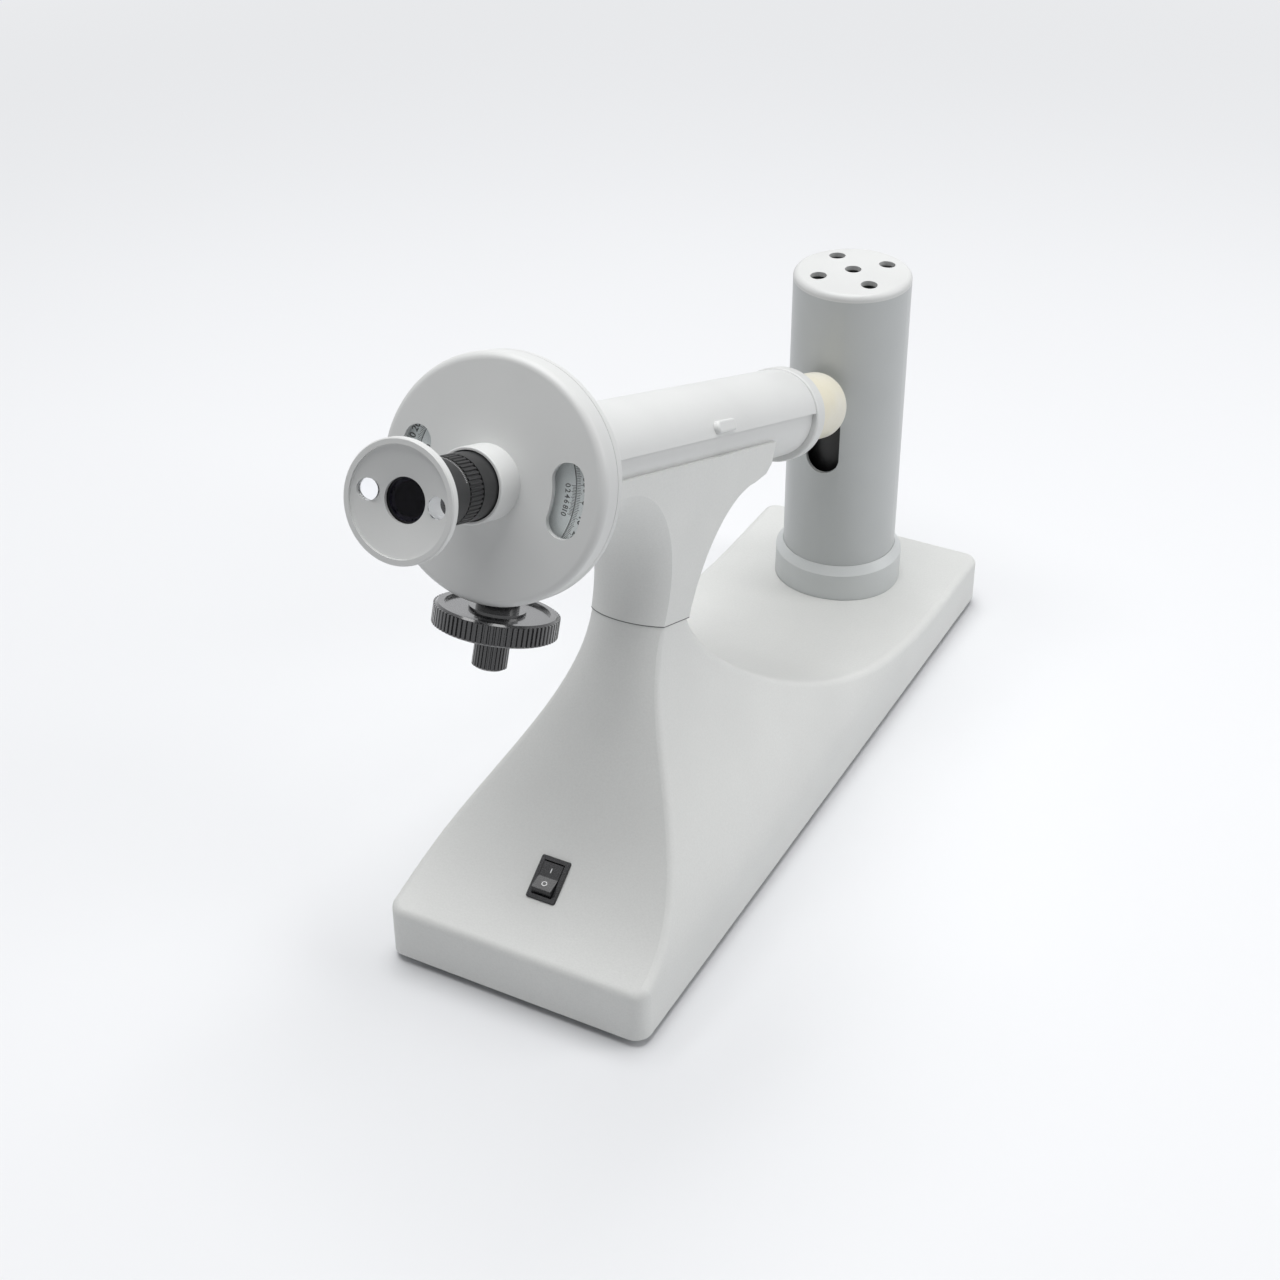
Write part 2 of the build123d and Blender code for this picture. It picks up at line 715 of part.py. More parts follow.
# Sample chamber: half-round trough with hinge knuckles, windowed ends, and a half-round lid.
chamber_front = drum_back + 4.0
hinge_back = chamber_end - hinge_inset
hinge_groups = (hinge_front, (hinge_front + hinge_back) / 2, hinge_back)
window_radius = 16.5


def knuckle_row(offsets, outline, keep_clear, mode=Mode.ADD):
    """Hinge barrels with their leaf at the hinge stations, shifted along the axis by the offsets."""
    for station in hinge_groups:
        for offset in offsets:
            with BuildSketch(facing(station + offset - knuckle_length / 2)) as profile:
                with BuildLine():
                    Polyline(*outline, close=True)
                make_face()
                with Locations((-hinge_across, hinge_height)):
                    Circle(knuckle_radius)
                Circle(keep_clear, mode=Mode.SUBTRACT)
                with Locations((-hinge_across, hinge_height)):
                    Circle(hinge_pin_radius + running_fit, mode=Mode.SUBTRACT)
            extrude(profile.sketch, amount=-knuckle_length, mode=mode)


knuckle_pitch = knuckle_length + air_gap
with BuildPart() as sample_trough:
    with BuildSketch(facing(drum_back)):
        Circle(trough_radius)
        Circle(trough_radius - trough_wall, mode=Mode.SUBTRACT)
        with Locations((0, trough_edge_height + trough_radius)):
            Rectangle(3 * trough_radius, 2 * trough_radius, mode=Mode.SUBTRACT)
    extrude(amount=drum_back - chamber_end)
    leaf = ((-27.0, 4.0), (-26.4, 1.6), (-21.5, -3.4), (-17.5, 0.0), (-22.7, 3.4))
    knuckle_row((-knuckle_pitch, knuckle_pitch), leaf, trough_radius - trough_wall / 2)
keep(sample_trough, "sample_trough")

lid_end_gap = 0.6
with BuildPart() as chamber_lid:
    with BuildSketch(facing(drum_back + lid_end_gap)):
        Circle(lid_radius)
        Circle(lid_radius - lid_wall, mode=Mode.SUBTRACT)
        with BuildLine():
            far = 2 * lid_radius
            right_edge = (far * cos(radians(lid_front_angle)), far * sin(radians(lid_front_angle)))
            left_edge = (far * cos(radians(lid_hinge_angle)), far * sin(radians(lid_hinge_angle)))
            Polyline((0, 0), right_edge, (right_edge[0], -far), (left_edge[0], -far), left_edge, close=True)
        make_face(mode=Mode.SUBTRACT)
    extrude(amount=drum_back + 2 * lid_end_gap - chamber_end)
    leaf = ((-27.0, 4.2), (-26.3, 6.6), (-20.6, 11.8), (-18.0, 10.0), (-20.6, 6.6), (-23.2, 4.2))
    knuckle_row((0,), leaf, lid_radius - lid_wall / 2)
keep(chamber_lid, "chamber_lid")

with BuildPart() as lid_pull:
    reach = Vector(cos(radians(pull_angle)), sin(radians(pull_angle)), 0)
    pull_base = optic(reach.X * (lid_radius - 1), reach.Y * (lid_radius - 1), pull_middle)
    pull_plane = Plane(origin=pull_base, x_dir=along, z_dir=across * reach.X + upward * reach.Y)
    with BuildSketch(pull_plane):
        SlotOverall(pull_length, 6.0)
    extrude(amount=3.6)
    fillet(lid_pull.faces().sort_by_distance(pull_base + pull_plane.z_dir * 9)[0].edges(), radius=1.2)
    disc(lid_radius, 0, chamber_end, mode=Mode.SUBTRACT)
keep(lid_pull, "lid_pull")

with BuildPart() as hinge_pins:
    for station in hinge_groups:
        with BuildSketch(facing(station - 1.5 * knuckle_length - 1)) as profile:
            with Locations((-hinge_across, hinge_height)):
                Circle(hinge_pin_radius)
        extrude(profile.sketch, amount=-3 * knuckle_length - 2)
keep(hinge_pins, "hinge_pins")

end_ring_radius = trough_radius - trough_wall - seat_fit
window_plate = 1.6
with BuildPart() as chamber_end_ring:
    disc(end_ring_radius, drum_back, chamber_front, bore=15.5)
    disc(window_radius + seat_fit, chamber_front - window_plate - 1, chamber_front, mode=Mode.SUBTRACT)
keep(chamber_end_ring, "chamber_end_ring")

with BuildPart() as chamber_windows:
    disc(window_radius, chamber_front - window_plate - 1, chamber_front - 1)
    disc(window_radius - 1, chamber_end - 2.6, chamber_end - 1)
keep(chamber_windows, "chamber_windows")

thread_start = nose_front - thread_length
with BuildPart() as rear_collar:
    turn(
        (chamber_end - 4, window_radius - 1 + seat_fit),
        (chamber_end - 4, end_ring_radius),
        (chamber_end, end_ring_radius),
        (chamber_end, collar_radius),
        (nose_front, collar_radius),
        (nose_front, thread_radius + seat_fit),
        (thread_start, thread_radius + seat_fit),
        (thread_start, window_radius - 3),
        (chamber_end - 1, window_radius - 3),
        (chamber_end - 1, window_radius - 1 + seat_fit),
    )
    fillet(rear_collar.edges().filter_by(lambda e: e.length > 2 * pi * collar_radius - 1), radius=1.2)
keep(rear_collar, "rear_collar")

with BuildPart() as nose_tube:
    turn(
        (thread_start, nose_bore),
        (thread_start, thread_radius),
        (nose_front, thread_radius),
        (nose_front, nose_radius),
        (nose_end, nose_radius),
        (nose_end, spigot_radius),
        (spigot_end, spigot_radius),
        (spigot_end, spigot_bore),
        (nose_end - 3, spigot_bore),
        (nose_end - 3, condenser_bore),
        (condenser_seat, condenser_bore),
        (condenser_seat, filter_radius),
        (filter_seat, filter_radius),
        (filter_seat, nose_bore),
    )
    nose_rims = nose_tube.edges().filter_by(lambda e: e.length > 2 * pi * nose_radius - 1)
    fillet(nose_rims.sort_by(Axis.Y)[-1], radius=1.0)
keep(nose_tube, "nose_tube")

with BuildPart() as condenser_lens:
    lens(filter_radius - seat_fit, condenser_seat, 3.0, 4.0)
keep(condenser_lens, "condenser_lens")

with BuildPart() as colour_filter:
    disc(nose_bore - seat_fit, filter_seat - 2, filter_seat)
keep(colour_filter, "colour_filter")

mount_start = thread_start + 0.5
mount_end = mount_start + 12
polarizer_radius = 13.0
with BuildPart() as polarizer_mount:
    disc(nose_bore - seat_fit, mount_start, mount_end, bore=11.5)
    disc(polarizer_radius, mount_start, mount_start + 2, mode=Mode.SUBTRACT)
    disc(polarizer_radius, mount_end - 3, mount_end, mode=Mode.SUBTRACT)
keep(polarizer_mount, "polarizer_mount")

with BuildPart() as half_shade_plate:
    disc(polarizer_radius - seat_fit, mount_start + 0.5, mount_start + 2)
keep(half_shade_plate, "half_shade_plate")

with BuildPart() as polarizer:
    disc(polarizer_radius - seat_fit, mount_end - 3, mount_end - 1.2)
keep(polarizer, "polarizer")

# Dial housing: flange, drum and back wall with the bearing's seat.
cover_screw_radius = 47.2
cover_screw_places = [
    (cover_screw_radius * cos(radians(turned)), cover_screw_radius * sin(radians(turned)))
    for turned in (45, 135, 225, 315)
]
drum_inner_radius = drum_radius - drum_wall
bush_top = 36.0
bush_neck_radius = 6.0
with BuildPart() as dial_housing:
    turn(
        (seam_gap / 2, drum_inner_radius),
        (seam_gap / 2, dial_radius),
        (flange_thickness, dial_radius),
        (flange_thickness, drum_radius),
        (drum_back, drum_radius),
        (drum_back, bearing_bore + seat_fit),
        (bearing_seat_front, bearing_bore + seat_fit),
        (bearing_seat_front, bearing_seat_radius),
        (drum_back - drum_wall, bearing_seat_radius),
        (drum_back - drum_wall, drum_inner_radius),
    )
    drum_rims = dial_housing.edges().filter_by(lambda e: abs(e.length - 2 * pi * drum_radius) < 1)
    fillet(drum_rims.sort_by(Axis.Y)[-1], radius=1.5)
    cover_screw_hole = cover_screw_shank + seat_fit
    housing_screw_hole = housing_screw_radius + seat_fit
    bush_hole = bush_neck_radius + seat_fit
    flange_depth = flange_thickness + 2
    post(facing(flange_thickness + 1), cover_screw_places, cover_screw_hole, flange_depth, mode=Mode.SUBTRACT)
    post(facing(drum_back + 1), housing_screw_places, housing_screw_hole, drum_wall + 2, mode=Mode.SUBTRACT)
    turn_shaft(
        (0, -drum_radius - 3.5),
        (bush_hole, -drum_radius - 3.5),
        (bush_hole, 2 - drum_inner_radius),
        (0, 2 - drum_inner_radius),
        mode=Mode.SUBTRACT,
    )
keep(dial_housing, "dial_housing")

with BuildPart() as housing_screws:
    post(facing(drum_back - drum_wall), housing_screw_places, 2.6, 1.8)
    post(facing(drum_back - drum_wall - 0.5), housing_screw_places, housing_screw_radius, -10)
keep(housing_screws, "housing_screws")

# Dial cover: skirt, shallow cone and eyepiece boss, with two kidney windows.
vernier_post_radius = 25.6
vernier_places = [
    (side_sign * vernier_post_radius * cos(radians(turned)), vernier_post_radius * sin(radians(turned)))
    for side_sign in (-1, 1)
    for turned in (-25, 25)
]
vernier_back = dial_front - vernier_thickness
with BuildPart() as dial_cover:
    with BuildSketch(meridian):
        with BuildLine():
            rim = RadiusArc((-cover_depth, dial_radius), (-cover_rim_depth, cover_rim_radius), -3.4)
            skirt_inside = dial_radius - cover_wall
            inner_rim = (cover_wall - cover_rim_depth, skirt_inside - 2)
            Polyline(rim @ 1, (-cover_cone_depth, boss_radius), (-boss_length, boss_radius))
            boss_root = (cover_wall - cover_cone_depth, boss_bore)
            skirt_end = (-seam_gap / 2, skirt_inside)
            Polyline((-boss_length, boss_radius), (-boss_length, boss_bore), boss_root, inner_rim)
            Polyline(inner_rim, (2 - cover_depth, skirt_inside), skirt_end)
            Polyline(skirt_end, (-seam_gap / 2, dial_radius), rim @ 0)
        make_face()
    revolve(axis=optical_axis)
    fillet(dial_cover.edges().sort_by_distance(optic(0, boss_radius, -boss_length))[0], radius=0.6)
    with BuildSketch(facing(-seam_gap)):
        add(kidney(window_width, 0))
        add(kidney(window_width, 180))
    extrude(amount=cover_cone_depth + 2, mode=Mode.SUBTRACT)
    post(facing(-dial_front), vernier_places, 2.3, 3.6)
    post(facing(-vernier_back), vernier_places, vernier_screw_shank + seat_fit, 3.6, mode=Mode.SUBTRACT)
    post(facing(-seam_gap / 2), cover_screw_places, 2.4, cover_depth)
    post(facing(0), cover_screw_places, cover_screw_shank + seat_fit, 6, mode=Mode.SUBTRACT)
keep(dial_cover, "dial_cover")

with BuildPart() as cover_screws:
    post(facing(flange_thickness), cover_screw_places, 2.3, -1.8)
    post(facing(flange_thickness + 0.5), cover_screw_places, cover_screw_shank, flange_thickness + 6)
keep(cover_screws, "cover_screws")

with BuildPart() as window_glasses:
    with BuildSketch(facing(window_thickness - window_front)):
        add(kidney(window_width - 2 * seat_fit, 0))
        add(kidney(window_width - 2 * seat_fit, 180))
    extrude(amount=window_thickness)
keep(window_glasses, "window_glasses")

vernier_hole = vernier_screw_shank + seat_fit
with BuildPart() as vernier_plates:
    for facing_angle in (0, 180):
        with BuildSketch(facing(-vernier_back)) as plate:
            Circle(dial_inner_radius - air_gap)
            Circle(vernier_inner_radius, mode=Mode.SUBTRACT)
            with BuildLine():
                far = 2 * dial_outer_radius
                wide = [radians(facing_angle + turned * vernier_half_angle) for turned in (-1, 1)]
                Polyline((0, 0), *[(far * cos(w), far * sin(w)) for w in wide], close=True)
            make_face(mode=Mode.INTERSECT)
        extrude(plate.sketch, amount=vernier_thickness)
    post(facing(-vernier_back), vernier_places, 2.0, 0.6, mode=Mode.SUBTRACT)
    post(facing(-vernier_back), vernier_places, vernier_hole, vernier_thickness, mode=Mode.SUBTRACT)
keep(vernier_plates, "vernier_plates")

with BuildPart() as vernier_screws:
    post(facing(-vernier_back - 0.1), vernier_places, 1.9, 0.5)
    post(facing(-vernier_back - 0.3), vernier_places, vernier_screw_shank, 3.0)
keep(vernier_screws, "vernier_screws")

# Dial: graduated rim on a web, screwed to the analyzer tube, with the crown gear behind it.
dial_screw_radius = 15.8
gear_screw_radius = 26.0
crown_middle_radius = gear_module * crown_teeth / 2
pinion_pitch_radius = gear_module * pinion_teeth / 2
pitch_plane = shaft_back - pinion_pitch_radius
crown_root = pitch_plane - tooth_below_pitch
crown_tip = pitch_plane + tooth_above_pitch
gear_flange = 2.0
tube_flange_radius = 18.0
tube_flange_thickness = 1.8
dial_screw_hole = dial_screw_shank + seat_fit


def ring_of(radius, count, start=0.0):
    """Points evenly spaced round the optical axis."""
    angles = [radians(start + 360 * i / count) for i in range(count)]
    return [(radius * cos(a), radius * sin(a)) for a in angles]


with BuildPart() as dial_disc:
    turn(
        (-dial_web_back, analyzer_tube_radius + seat_fit),
        (-dial_web_back, dial_outer_radius),
        (-dial_front, dial_outer_radius),
        (-dial_front, dial_inner_radius),
        (-dial_web_front, dial_inner_radius),
        (-dial_web_front, analyzer_tube_radius + seat_fit),
    )
    post(facing(-dial_web_back), ring_of(dial_screw_radius, 4), dial_screw_hole, 3, mode=Mode.SUBTRACT)
    post(facing(-dial_web_back), ring_of(gear_screw_radius, 4), dial_screw_hole, 1.2, mode=Mode.SUBTRACT)
keep(dial_disc, "dial_disc")

with BuildPart() as tooth_gap:
    with BuildSketch(Plane.YZ.offset(crown_inner_radius - 1)) as profile:
        pitch = 2 * pi * crown_middle_radius / crown_teeth
        lean = tan(radians(tooth_angle))
        half_gap = (pitch - crown_tooth_width) / 2
        top_gap = half_gap + (tooth_above_pitch + 0.5) * lean
        low_gap = half_gap - tooth_below_pitch * lean
        with BuildLine():
            gap_depth = tooth_below_pitch + tooth_above_pitch + 0.56
            Polyline((-low_gap, 0), (low_gap, 0), (top_gap, gap_depth), (-top_gap, gap_depth), close=True)
        make_face()
    extrude(amount=crown_outer_radius - crown_inner_radius + 2)

with BuildPart(facing(crown_root)) as crown_gear:
    disc(crown_outer_radius + 0.5, -dial_web_back, gear_flange - dial_web_back, bore=vernier_inner_radius)
    disc(crown_outer_radius, gear_flange - dial_web_back, crown_tip, bore=crown_inner_radius)
    post(facing(0), ring_of(gear_screw_radius, 4), dial_screw_hole, 6, mode=Mode.SUBTRACT)
    with PolarLocations(0, crown_teeth, start_angle=-90):
        add(tooth_gap.part.mirror(Plane.XY), mode=Mode.SUBTRACT)
keep(crown_gear, "crown_gear")

with BuildPart() as dial_screws:
    post(facing(-dial_web_front), ring_of(dial_screw_radius, 4), 1.9, 0.9)
    post(facing(-dial_web_front + 0.3), ring_of(dial_screw_radius, 4), dial_screw_shank, -3.2)
    post(facing(gear_flange - dial_web_back), ring_of(gear_screw_radius, 4), 1.8, -0.9)
    post(facing(gear_flange - dial_web_back + 0.3), ring_of(gear_screw_radius, 4), dial_screw_shank, 3.2)
keep(dial_screws, "dial_screws")

sleeve_front = bearing_seat_front - 2.0
sleeve_back = 16.0
analyzer_seat = 3.5
tube_front = -9.0
tube_back = sleeve_back + 2.0
flange_back = tube_flange_thickness - dial_web_back
ring_groove_front = sleeve_back + slide_fit
ring_groove_back = ring_groove_front + 1.0
ring_groove_radius = analyzer_tube_radius - 0.6
with BuildPart() as analyzer_tube:
    turn(
        (tube_front, analyzer_bore),
        (tube_front, analyzer_tube_radius),
        (-dial_web_back, analyzer_tube_radius),
        (-dial_web_back, tube_flange_radius),
        (flange_back, tube_flange_radius),
        (flange_back, analyzer_tube_radius + 2),
        (sleeve_front - slide_fit, analyzer_tube_radius + 2),
        (sleeve_front - slide_fit, analyzer_tube_radius),
        (ring_groove_front, analyzer_tube_radius),
        (ring_groove_front, ring_groove_radius),
        (ring_groove_back, ring_groove_radius),
        (ring_groove_back, analyzer_tube_radius),
        (tube_back, analyzer_tube_radius),
        (tube_back, analyzer_bore - 0.7),
        (analyzer_seat, analyzer_bore - 0.7),
        (analyzer_seat, analyzer_bore),
    )
    post(facing(0), ring_of(dial_screw_radius, 4), dial_screw_hole, 6, mode=Mode.SUBTRACT)
keep(analyzer_tube, "analyzer_tube")

with BuildPart() as analyzer:
    disc(analyzer_bore - seat_fit, analyzer_seat - 1.5, analyzer_seat)
keep(analyzer, "analyzer")

with BuildPart() as bearing_sleeve:
    disc(bearing_bore, sleeve_front, sleeve_back, bore=analyzer_tube_radius + running_fit)
    disc(bearing_seat_radius - 2, sleeve_front, bearing_seat_front, bore=analyzer_tube_radius + running_fit)
keep(bearing_sleeve, "bearing_sleeve")

with BuildPart() as retaining_ring:
    disc(15.0, ring_groove_front, ring_groove_back - seat_fit, bore=ring_groove_radius + seat_fit)
keep(retaining_ring, "retaining_ring")

# Handwheel drive under the drum.
pinion_front = crown_inner_radius - 0.3
pinion_back = crown_outer_radius + 0.3
shaft_top = pinion_front - 2.0
wheel_hub_top = dial_radius + 0.6
with BuildPart() as shaft_bush:
    turn_shaft(
        (shaft_radius + running_fit, -bush_top),
        (bush_neck_radius, -bush_top),
        (bush_neck_radius, -drum_inner_radius),
        (bush_neck_radius, -drum_radius + 1.5),
        (bush_radius, -drum_radius + 1.5),
        (bush_radius, -dial_radius),
        (shaft_radius + running_fit, -dial_radius),
    )
    disc(drum_radius, drum_back / 2 - 12, drum_back + 5, mode=Mode.SUBTRACT)
    turn_shaft(
        (shaft_radius + running_fit, -bush_top),
        (bush_neck_radius, -bush_top),
        (bush_neck_radius, -drum_radius - 1),
        (shaft_radius + running_fit, -drum_radius - 1),
    )
keep(shaft_bush, "shaft_bush")

with BuildPart() as handwheel_shaft:
    shaft_end = 3 - knob_bottom
    turn_shaft((0, -shaft_top), (shaft_radius, -shaft_top), (shaft_radius, shaft_end), (0, shaft_end))
keep(handwheel_shaft, "handwheel_shaft")

tip_radius = pinion_pitch_radius + tooth_above_pitch
root_radius = pinion_pitch_radius - tooth_below_pitch
half_tip = pinion_tooth_width / 2 - tooth_above_pitch * lean
half_root = pinion_tooth_width / 2 + tooth_below_pitch * lean
with BuildSketch(Plane.XY) as pinion_tooth:
    with BuildLine():
        Polyline((root_radius - 0.3, half_root), (root_radius - 0.3, -half_root), (root_radius, -half_root))
        Polyline((root_radius, -half_root), (tip_radius, -half_tip), (tip_radius, half_tip))
        Polyline((tip_radius, half_tip), (root_radius, half_root), (root_radius - 0.3, half_root))
    make_face()

with BuildPart() as pinion:
    with BuildSketch(neck_level(-pinion_back, shaft_back)):
        Circle(root_radius)
        with PolarLocations(0, pinion_teeth, start_angle=-90):
            add(pinion_tooth.sketch)
        Circle(shaft_radius + seat_fit, mode=Mode.SUBTRACT)
    extrude(amount=pinion_back - pinion_front)
keep(pinion, "pinion")

wheel_bottom = wheel_top + wheel_thickness
with BuildPart() as handwheel:
    with BuildSketch(neck_level(-wheel_bottom + 0.8, shaft_back)):
        with BuildLine():
            ribbed(wheel_radius, 0.7, 72)
        make_face()
    extrude(amount=wheel_thickness - 1.6)
    turn_shaft(
        (0, -wheel_hub_top),
        (hub_radius, -wheel_hub_top),
        (hub_radius, -wheel_top),
        (wheel_radius - 1.6, -wheel_top),
        (wheel_radius - 0.8, -wheel_top - 0.8),
        (wheel_radius - 0.8, -wheel_bottom + 0.8),
        (wheel_radius - 1.6, -wheel_bottom),
        (0, -wheel_bottom),
    )
    turn_shaft(
        (hub_radius + 3, -wheel_top - 1.2),
        (wheel_radius - 4.5, -wheel_top - 1.2),
        (wheel_radius - 4.0, -wheel_top + 1),
        (hub_radius + 2.5, -wheel_top + 1),
        mode=Mode.SUBTRACT,
    )
    post(neck_level(-wheel_hub_top, shaft_back), [(0, 0)], shaft_radius + seat_fit, -40, mode=Mode.SUBTRACT)
keep(handwheel, "handwheel")

with BuildPart() as fine_knob:
    with BuildSketch(neck_level(-knob_bottom + 0.8, shaft_back)):
        with BuildLine():
            ribbed(knob_radius, 0.5, 26)
        make_face()
    extrude(amount=knob_bottom - wheel_bottom - 4.0)
    turn_shaft(
        (0, -wheel_bottom - 0.1),
        (knob_radius - 1.4, -wheel_bottom - 0.1),
        (knob_radius - 1.4, -wheel_bottom - 3.2),
        (knob_radius - 0.6, -wheel_bottom - 3.2),
        (knob_radius - 0.6, -knob_bottom + 0.8),
        (knob_radius - 1.4, -knob_bottom),
        (0, -knob_bottom),
    )
    bore_depth = knob_bottom - wheel_bottom - 3
    knob_top = neck_level(-wheel_bottom, shaft_back)
    post(knob_top, [(0, 0)], shaft_radius + seat_fit, -bore_depth, mode=Mode.SUBTRACT)
keep(fine_knob, "fine_knob")

# Telescope with its focus ring, eyepiece and the conical dish that carries the reading lenses.
objective_seat = 12.0
with BuildPart() as telescope_tube:
    disc(telescope_radius, -telescope_front, -10.0, bore=telescope_bore)
    disc(boss_bore - seat_fit, -16.0, -objective_seat, bore=telescope_bore)
    disc(telescope_bore + 0.1, -objective_seat, -10.0, bore=telescope_bore - 1.5)
keep(telescope_tube, "telescope_tube")

with BuildPart() as objective_lens:
    lens(telescope_bore - seat_fit, -objective_seat, 2.0, 1.6)
keep(objective_lens, "objective_lens")

with BuildPart() as focus_ring:
    disc(focus_ring_radius, -focus_ring_front, -focus_ring_back, bore=telescope_radius + running_fit)
    disc(focus_ring_radius + 1, -knurl_front, -knurl_back, bore=focus_ring_radius - 0.8, mode=Mode.SUBTRACT)
    with BuildSketch(facing(-knurl_back - 0.6)):
        with BuildLine():
            ribbed(focus_ring_radius, 0.5, 44)
        make_face()
        Circle(focus_ring_radius - 1, mode=Mode.SUBTRACT)
    extrude(amount=knurl_front - knurl_back - 1.6)
keep(focus_ring, "focus_ring")

dish_hub_back = 65.5
eyepiece_lens_seat = 68.0
dish_hub_bore = telescope_bore - slide_fit + seat_fit
with BuildPart() as eyepiece_tube:
    disc(telescope_bore - slide_fit, -eyepiece_front, -40.0, bore=eyepiece_bore)
    disc(eyepiece_bore + 0.1, -eyepiece_lens_seat, -eyepiece_lens_seat + 1.2, bore=eyepiece_bore - 1.3)
keep(eyepiece_tube, "eyepiece_tube")

with BuildPart() as eyepiece_lens:
    disc(eyepiece_bore - seat_fit, -eyepiece_front, -eyepiece_lens_seat)
keep(eyepiece_lens, "eyepiece_lens")

reading_lens_places = [(-reading_lens_offset, 1.0), (reading_lens_offset, 1.0)]
with BuildPart() as magnifier_dish:
    turn(
        (-dish_front, dish_radius - dish_rim_width),
        (-dish_front, dish_radius - 0.5),
        (0.5 - dish_front, dish_radius),
        (3.2 - dish_front, dish_radius),
        (3.7 - dish_front, dish_radius - 0.5),
        (-dish_hub_back - 4.0, 13.4),
        (-dish_hub_back, 13.0),
        (-dish_hub_back, dish_hub_bore),
        (-eyepiece_front - 1.2, dish_hub_bore),
        (-eyepiece_front - 1.2, dish_hole_radius),
        (4.8 - dish_front, dish_hole_radius),
        (1.2 - dish_front, dish_radius - dish_rim_width),
    )
    post(facing(-dish_hub_back), reading_lens_places, reading_lens_radius + seat_fit, 14, mode=Mode.SUBTRACT)
keep(magnifier_dish, "magnifier_dish")

with BuildPart() as magnifier_lenses:
    for place in reading_lens_places:
        lens(reading_lens_radius, 4.6 - dish_front, 1.4, 0.4, middle=place)
keep(magnifier_lenses, "magnifier_lenses")

# Lamp column: ring, slotted cover with its vented cap, dark shield, socket and lamp.
with BuildPart() as column_ring:
    turn_column(
        (ledge_radius, deck_height),
        (ring_radius, deck_height),
        (ring_radius, ring_shoulder),
        (column_radius + 0.4, ring_top),
        (column_radius + slide_fit, ring_top),
        (column_radius + slide_fit, ledge_top),
        (ledge_radius, ledge_top),
    )
    post(level(deck_height), ring_screw_places, ring_screw_hole, 8, mode=Mode.SUBTRACT)
keep(column_ring, "column_ring")

with BuildPart() as ring_screws:
    post(level(roof_height - 2.2), ring_screw_places, 3.5, 2.2)
    post(level(roof_height - 0.5), ring_screw_places, ring_screw_radius, 11)
keep(ring_screws, "ring_screws")

column_bore = column_radius - column_wall
with BuildPart() as lamp_cover:
    turn_column(
        (column_bore, ledge_top),
        (column_radius, ledge_top),
        (column_radius, column_top),
        (column_bore, column_top),
    )
    with BuildSketch(column_face.offset(column_radius + 5)):
        with Locations((0, (slot_bottom + slot_top) / 2)):
            SlotOverall(slot_top - slot_bottom, 2 * slot_half_width, rotation=90)
    extrude(amount=-column_radius, mode=Mode.SUBTRACT)
keep(lamp_cover, "lamp_cover")

cap_top = column_top + cap_rise
cap_skirt = column_bore - seat_fit
cap_skirt_bottom = column_top - 4
vent_places = [(0, column_y)] + [(x, column_y - y) for x, y in ring_of(vent_circle_radius, 4, vent_turn)]
with BuildPart() as lamp_cover_cap:
    with BuildSketch(column_face):
        with BuildLine():
            shoulder = ThreePointArc(
                (column_radius, cap_top - 3.6),
                (column_radius - 0.9, cap_top - 1.9),
                (column_radius - 2.8, cap_top - 1.0),
            )
            Polyline((0, cap_skirt_bottom), (cap_skirt, cap_skirt_bottom), (cap_skirt, column_top))
            Polyline((cap_skirt, column_top), (column_radius, column_top), shoulder @ 0)
            ThreePointArc(shoulder @ 1, (column_radius / 2, cap_top - 0.25), (0, cap_top))
            Line((0, cap_top), (0, cap_skirt_bottom))
        make_face()
    revolve(axis=column_axis)
    turn_column(
        (0, cap_skirt_bottom - 1),
        (column_bore - 2, cap_skirt_bottom - 1),
        (column_bore - 2, cap_top - 3.2),
        (0, cap_top - 2.4),
        mode=Mode.SUBTRACT,
    )
    post(level(cap_skirt_bottom - 1), vent_places, vent_radius, 20, mode=Mode.SUBTRACT)
keep(lamp_cover_cap, "lamp_cover_cap")

with BuildPart() as lamp_shield:
    turn_column(
        (shield_radius - 1, deck_height),
        (shield_radius, deck_height),
        (shield_radius, shield_top),
        (shield_radius - 1, shield_top),
    )
    post(facing(spigot_end - 5), [(0, 0)], shield_hole_radius, -25, mode=Mode.SUBTRACT)
keep(lamp_shield, "lamp_shield")

socket_floor = deck_height + 10
with BuildPart() as lamp_socket:
    turn_column(
        (0, deck_height),
        (socket_radius + 4, deck_height),
        (socket_radius + 4, deck_height + 4),
        (socket_radius, deck_height + 4),
        (socket_radius, socket_top),
        (socket_radius - 2, socket_top),
        (socket_radius - 2, socket_floor),
        (0, socket_floor),
    )
keep(lamp_socket, "lamp_socket")

bulb_seat = socket_top + 6
with BuildPart() as lamp_base:
    turn_column(
        (0, socket_floor),
        (4, socket_floor),
        (socket_radius - 2.2, socket_floor + 4),
        (socket_radius - 2.2, bulb_seat),
        (0, bulb_seat),
    )
keep(lamp_base, "lamp_base")

with BuildPart() as lamp_bulb:
    with BuildSketch(column_face):
        with BuildLine():
            dome = CenterArc((0, bulb_top - bulb_radius), bulb_radius, 0, 90)
            Polyline(dome @ 1, (0, bulb_seat), (bulb_radius - 1, bulb_seat))
            Polyline((bulb_radius - 1, bulb_seat), (bulb_radius, bulb_seat + 6), dome @ 0)
        make_face()
    revolve(axis=column_axis)
keep(lamp_bulb, "lamp_bulb")
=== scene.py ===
"""A desk polarimeter in its finishes, with divided dial and verniers, on a pale studio floor."""

import json
from math import cos, pi, radians, sin

import bmesh
import bpy
from bpy.props import FloatProperty, FloatVectorProperty, IntProperty, PointerProperty
from mathutils import Matrix, Vector


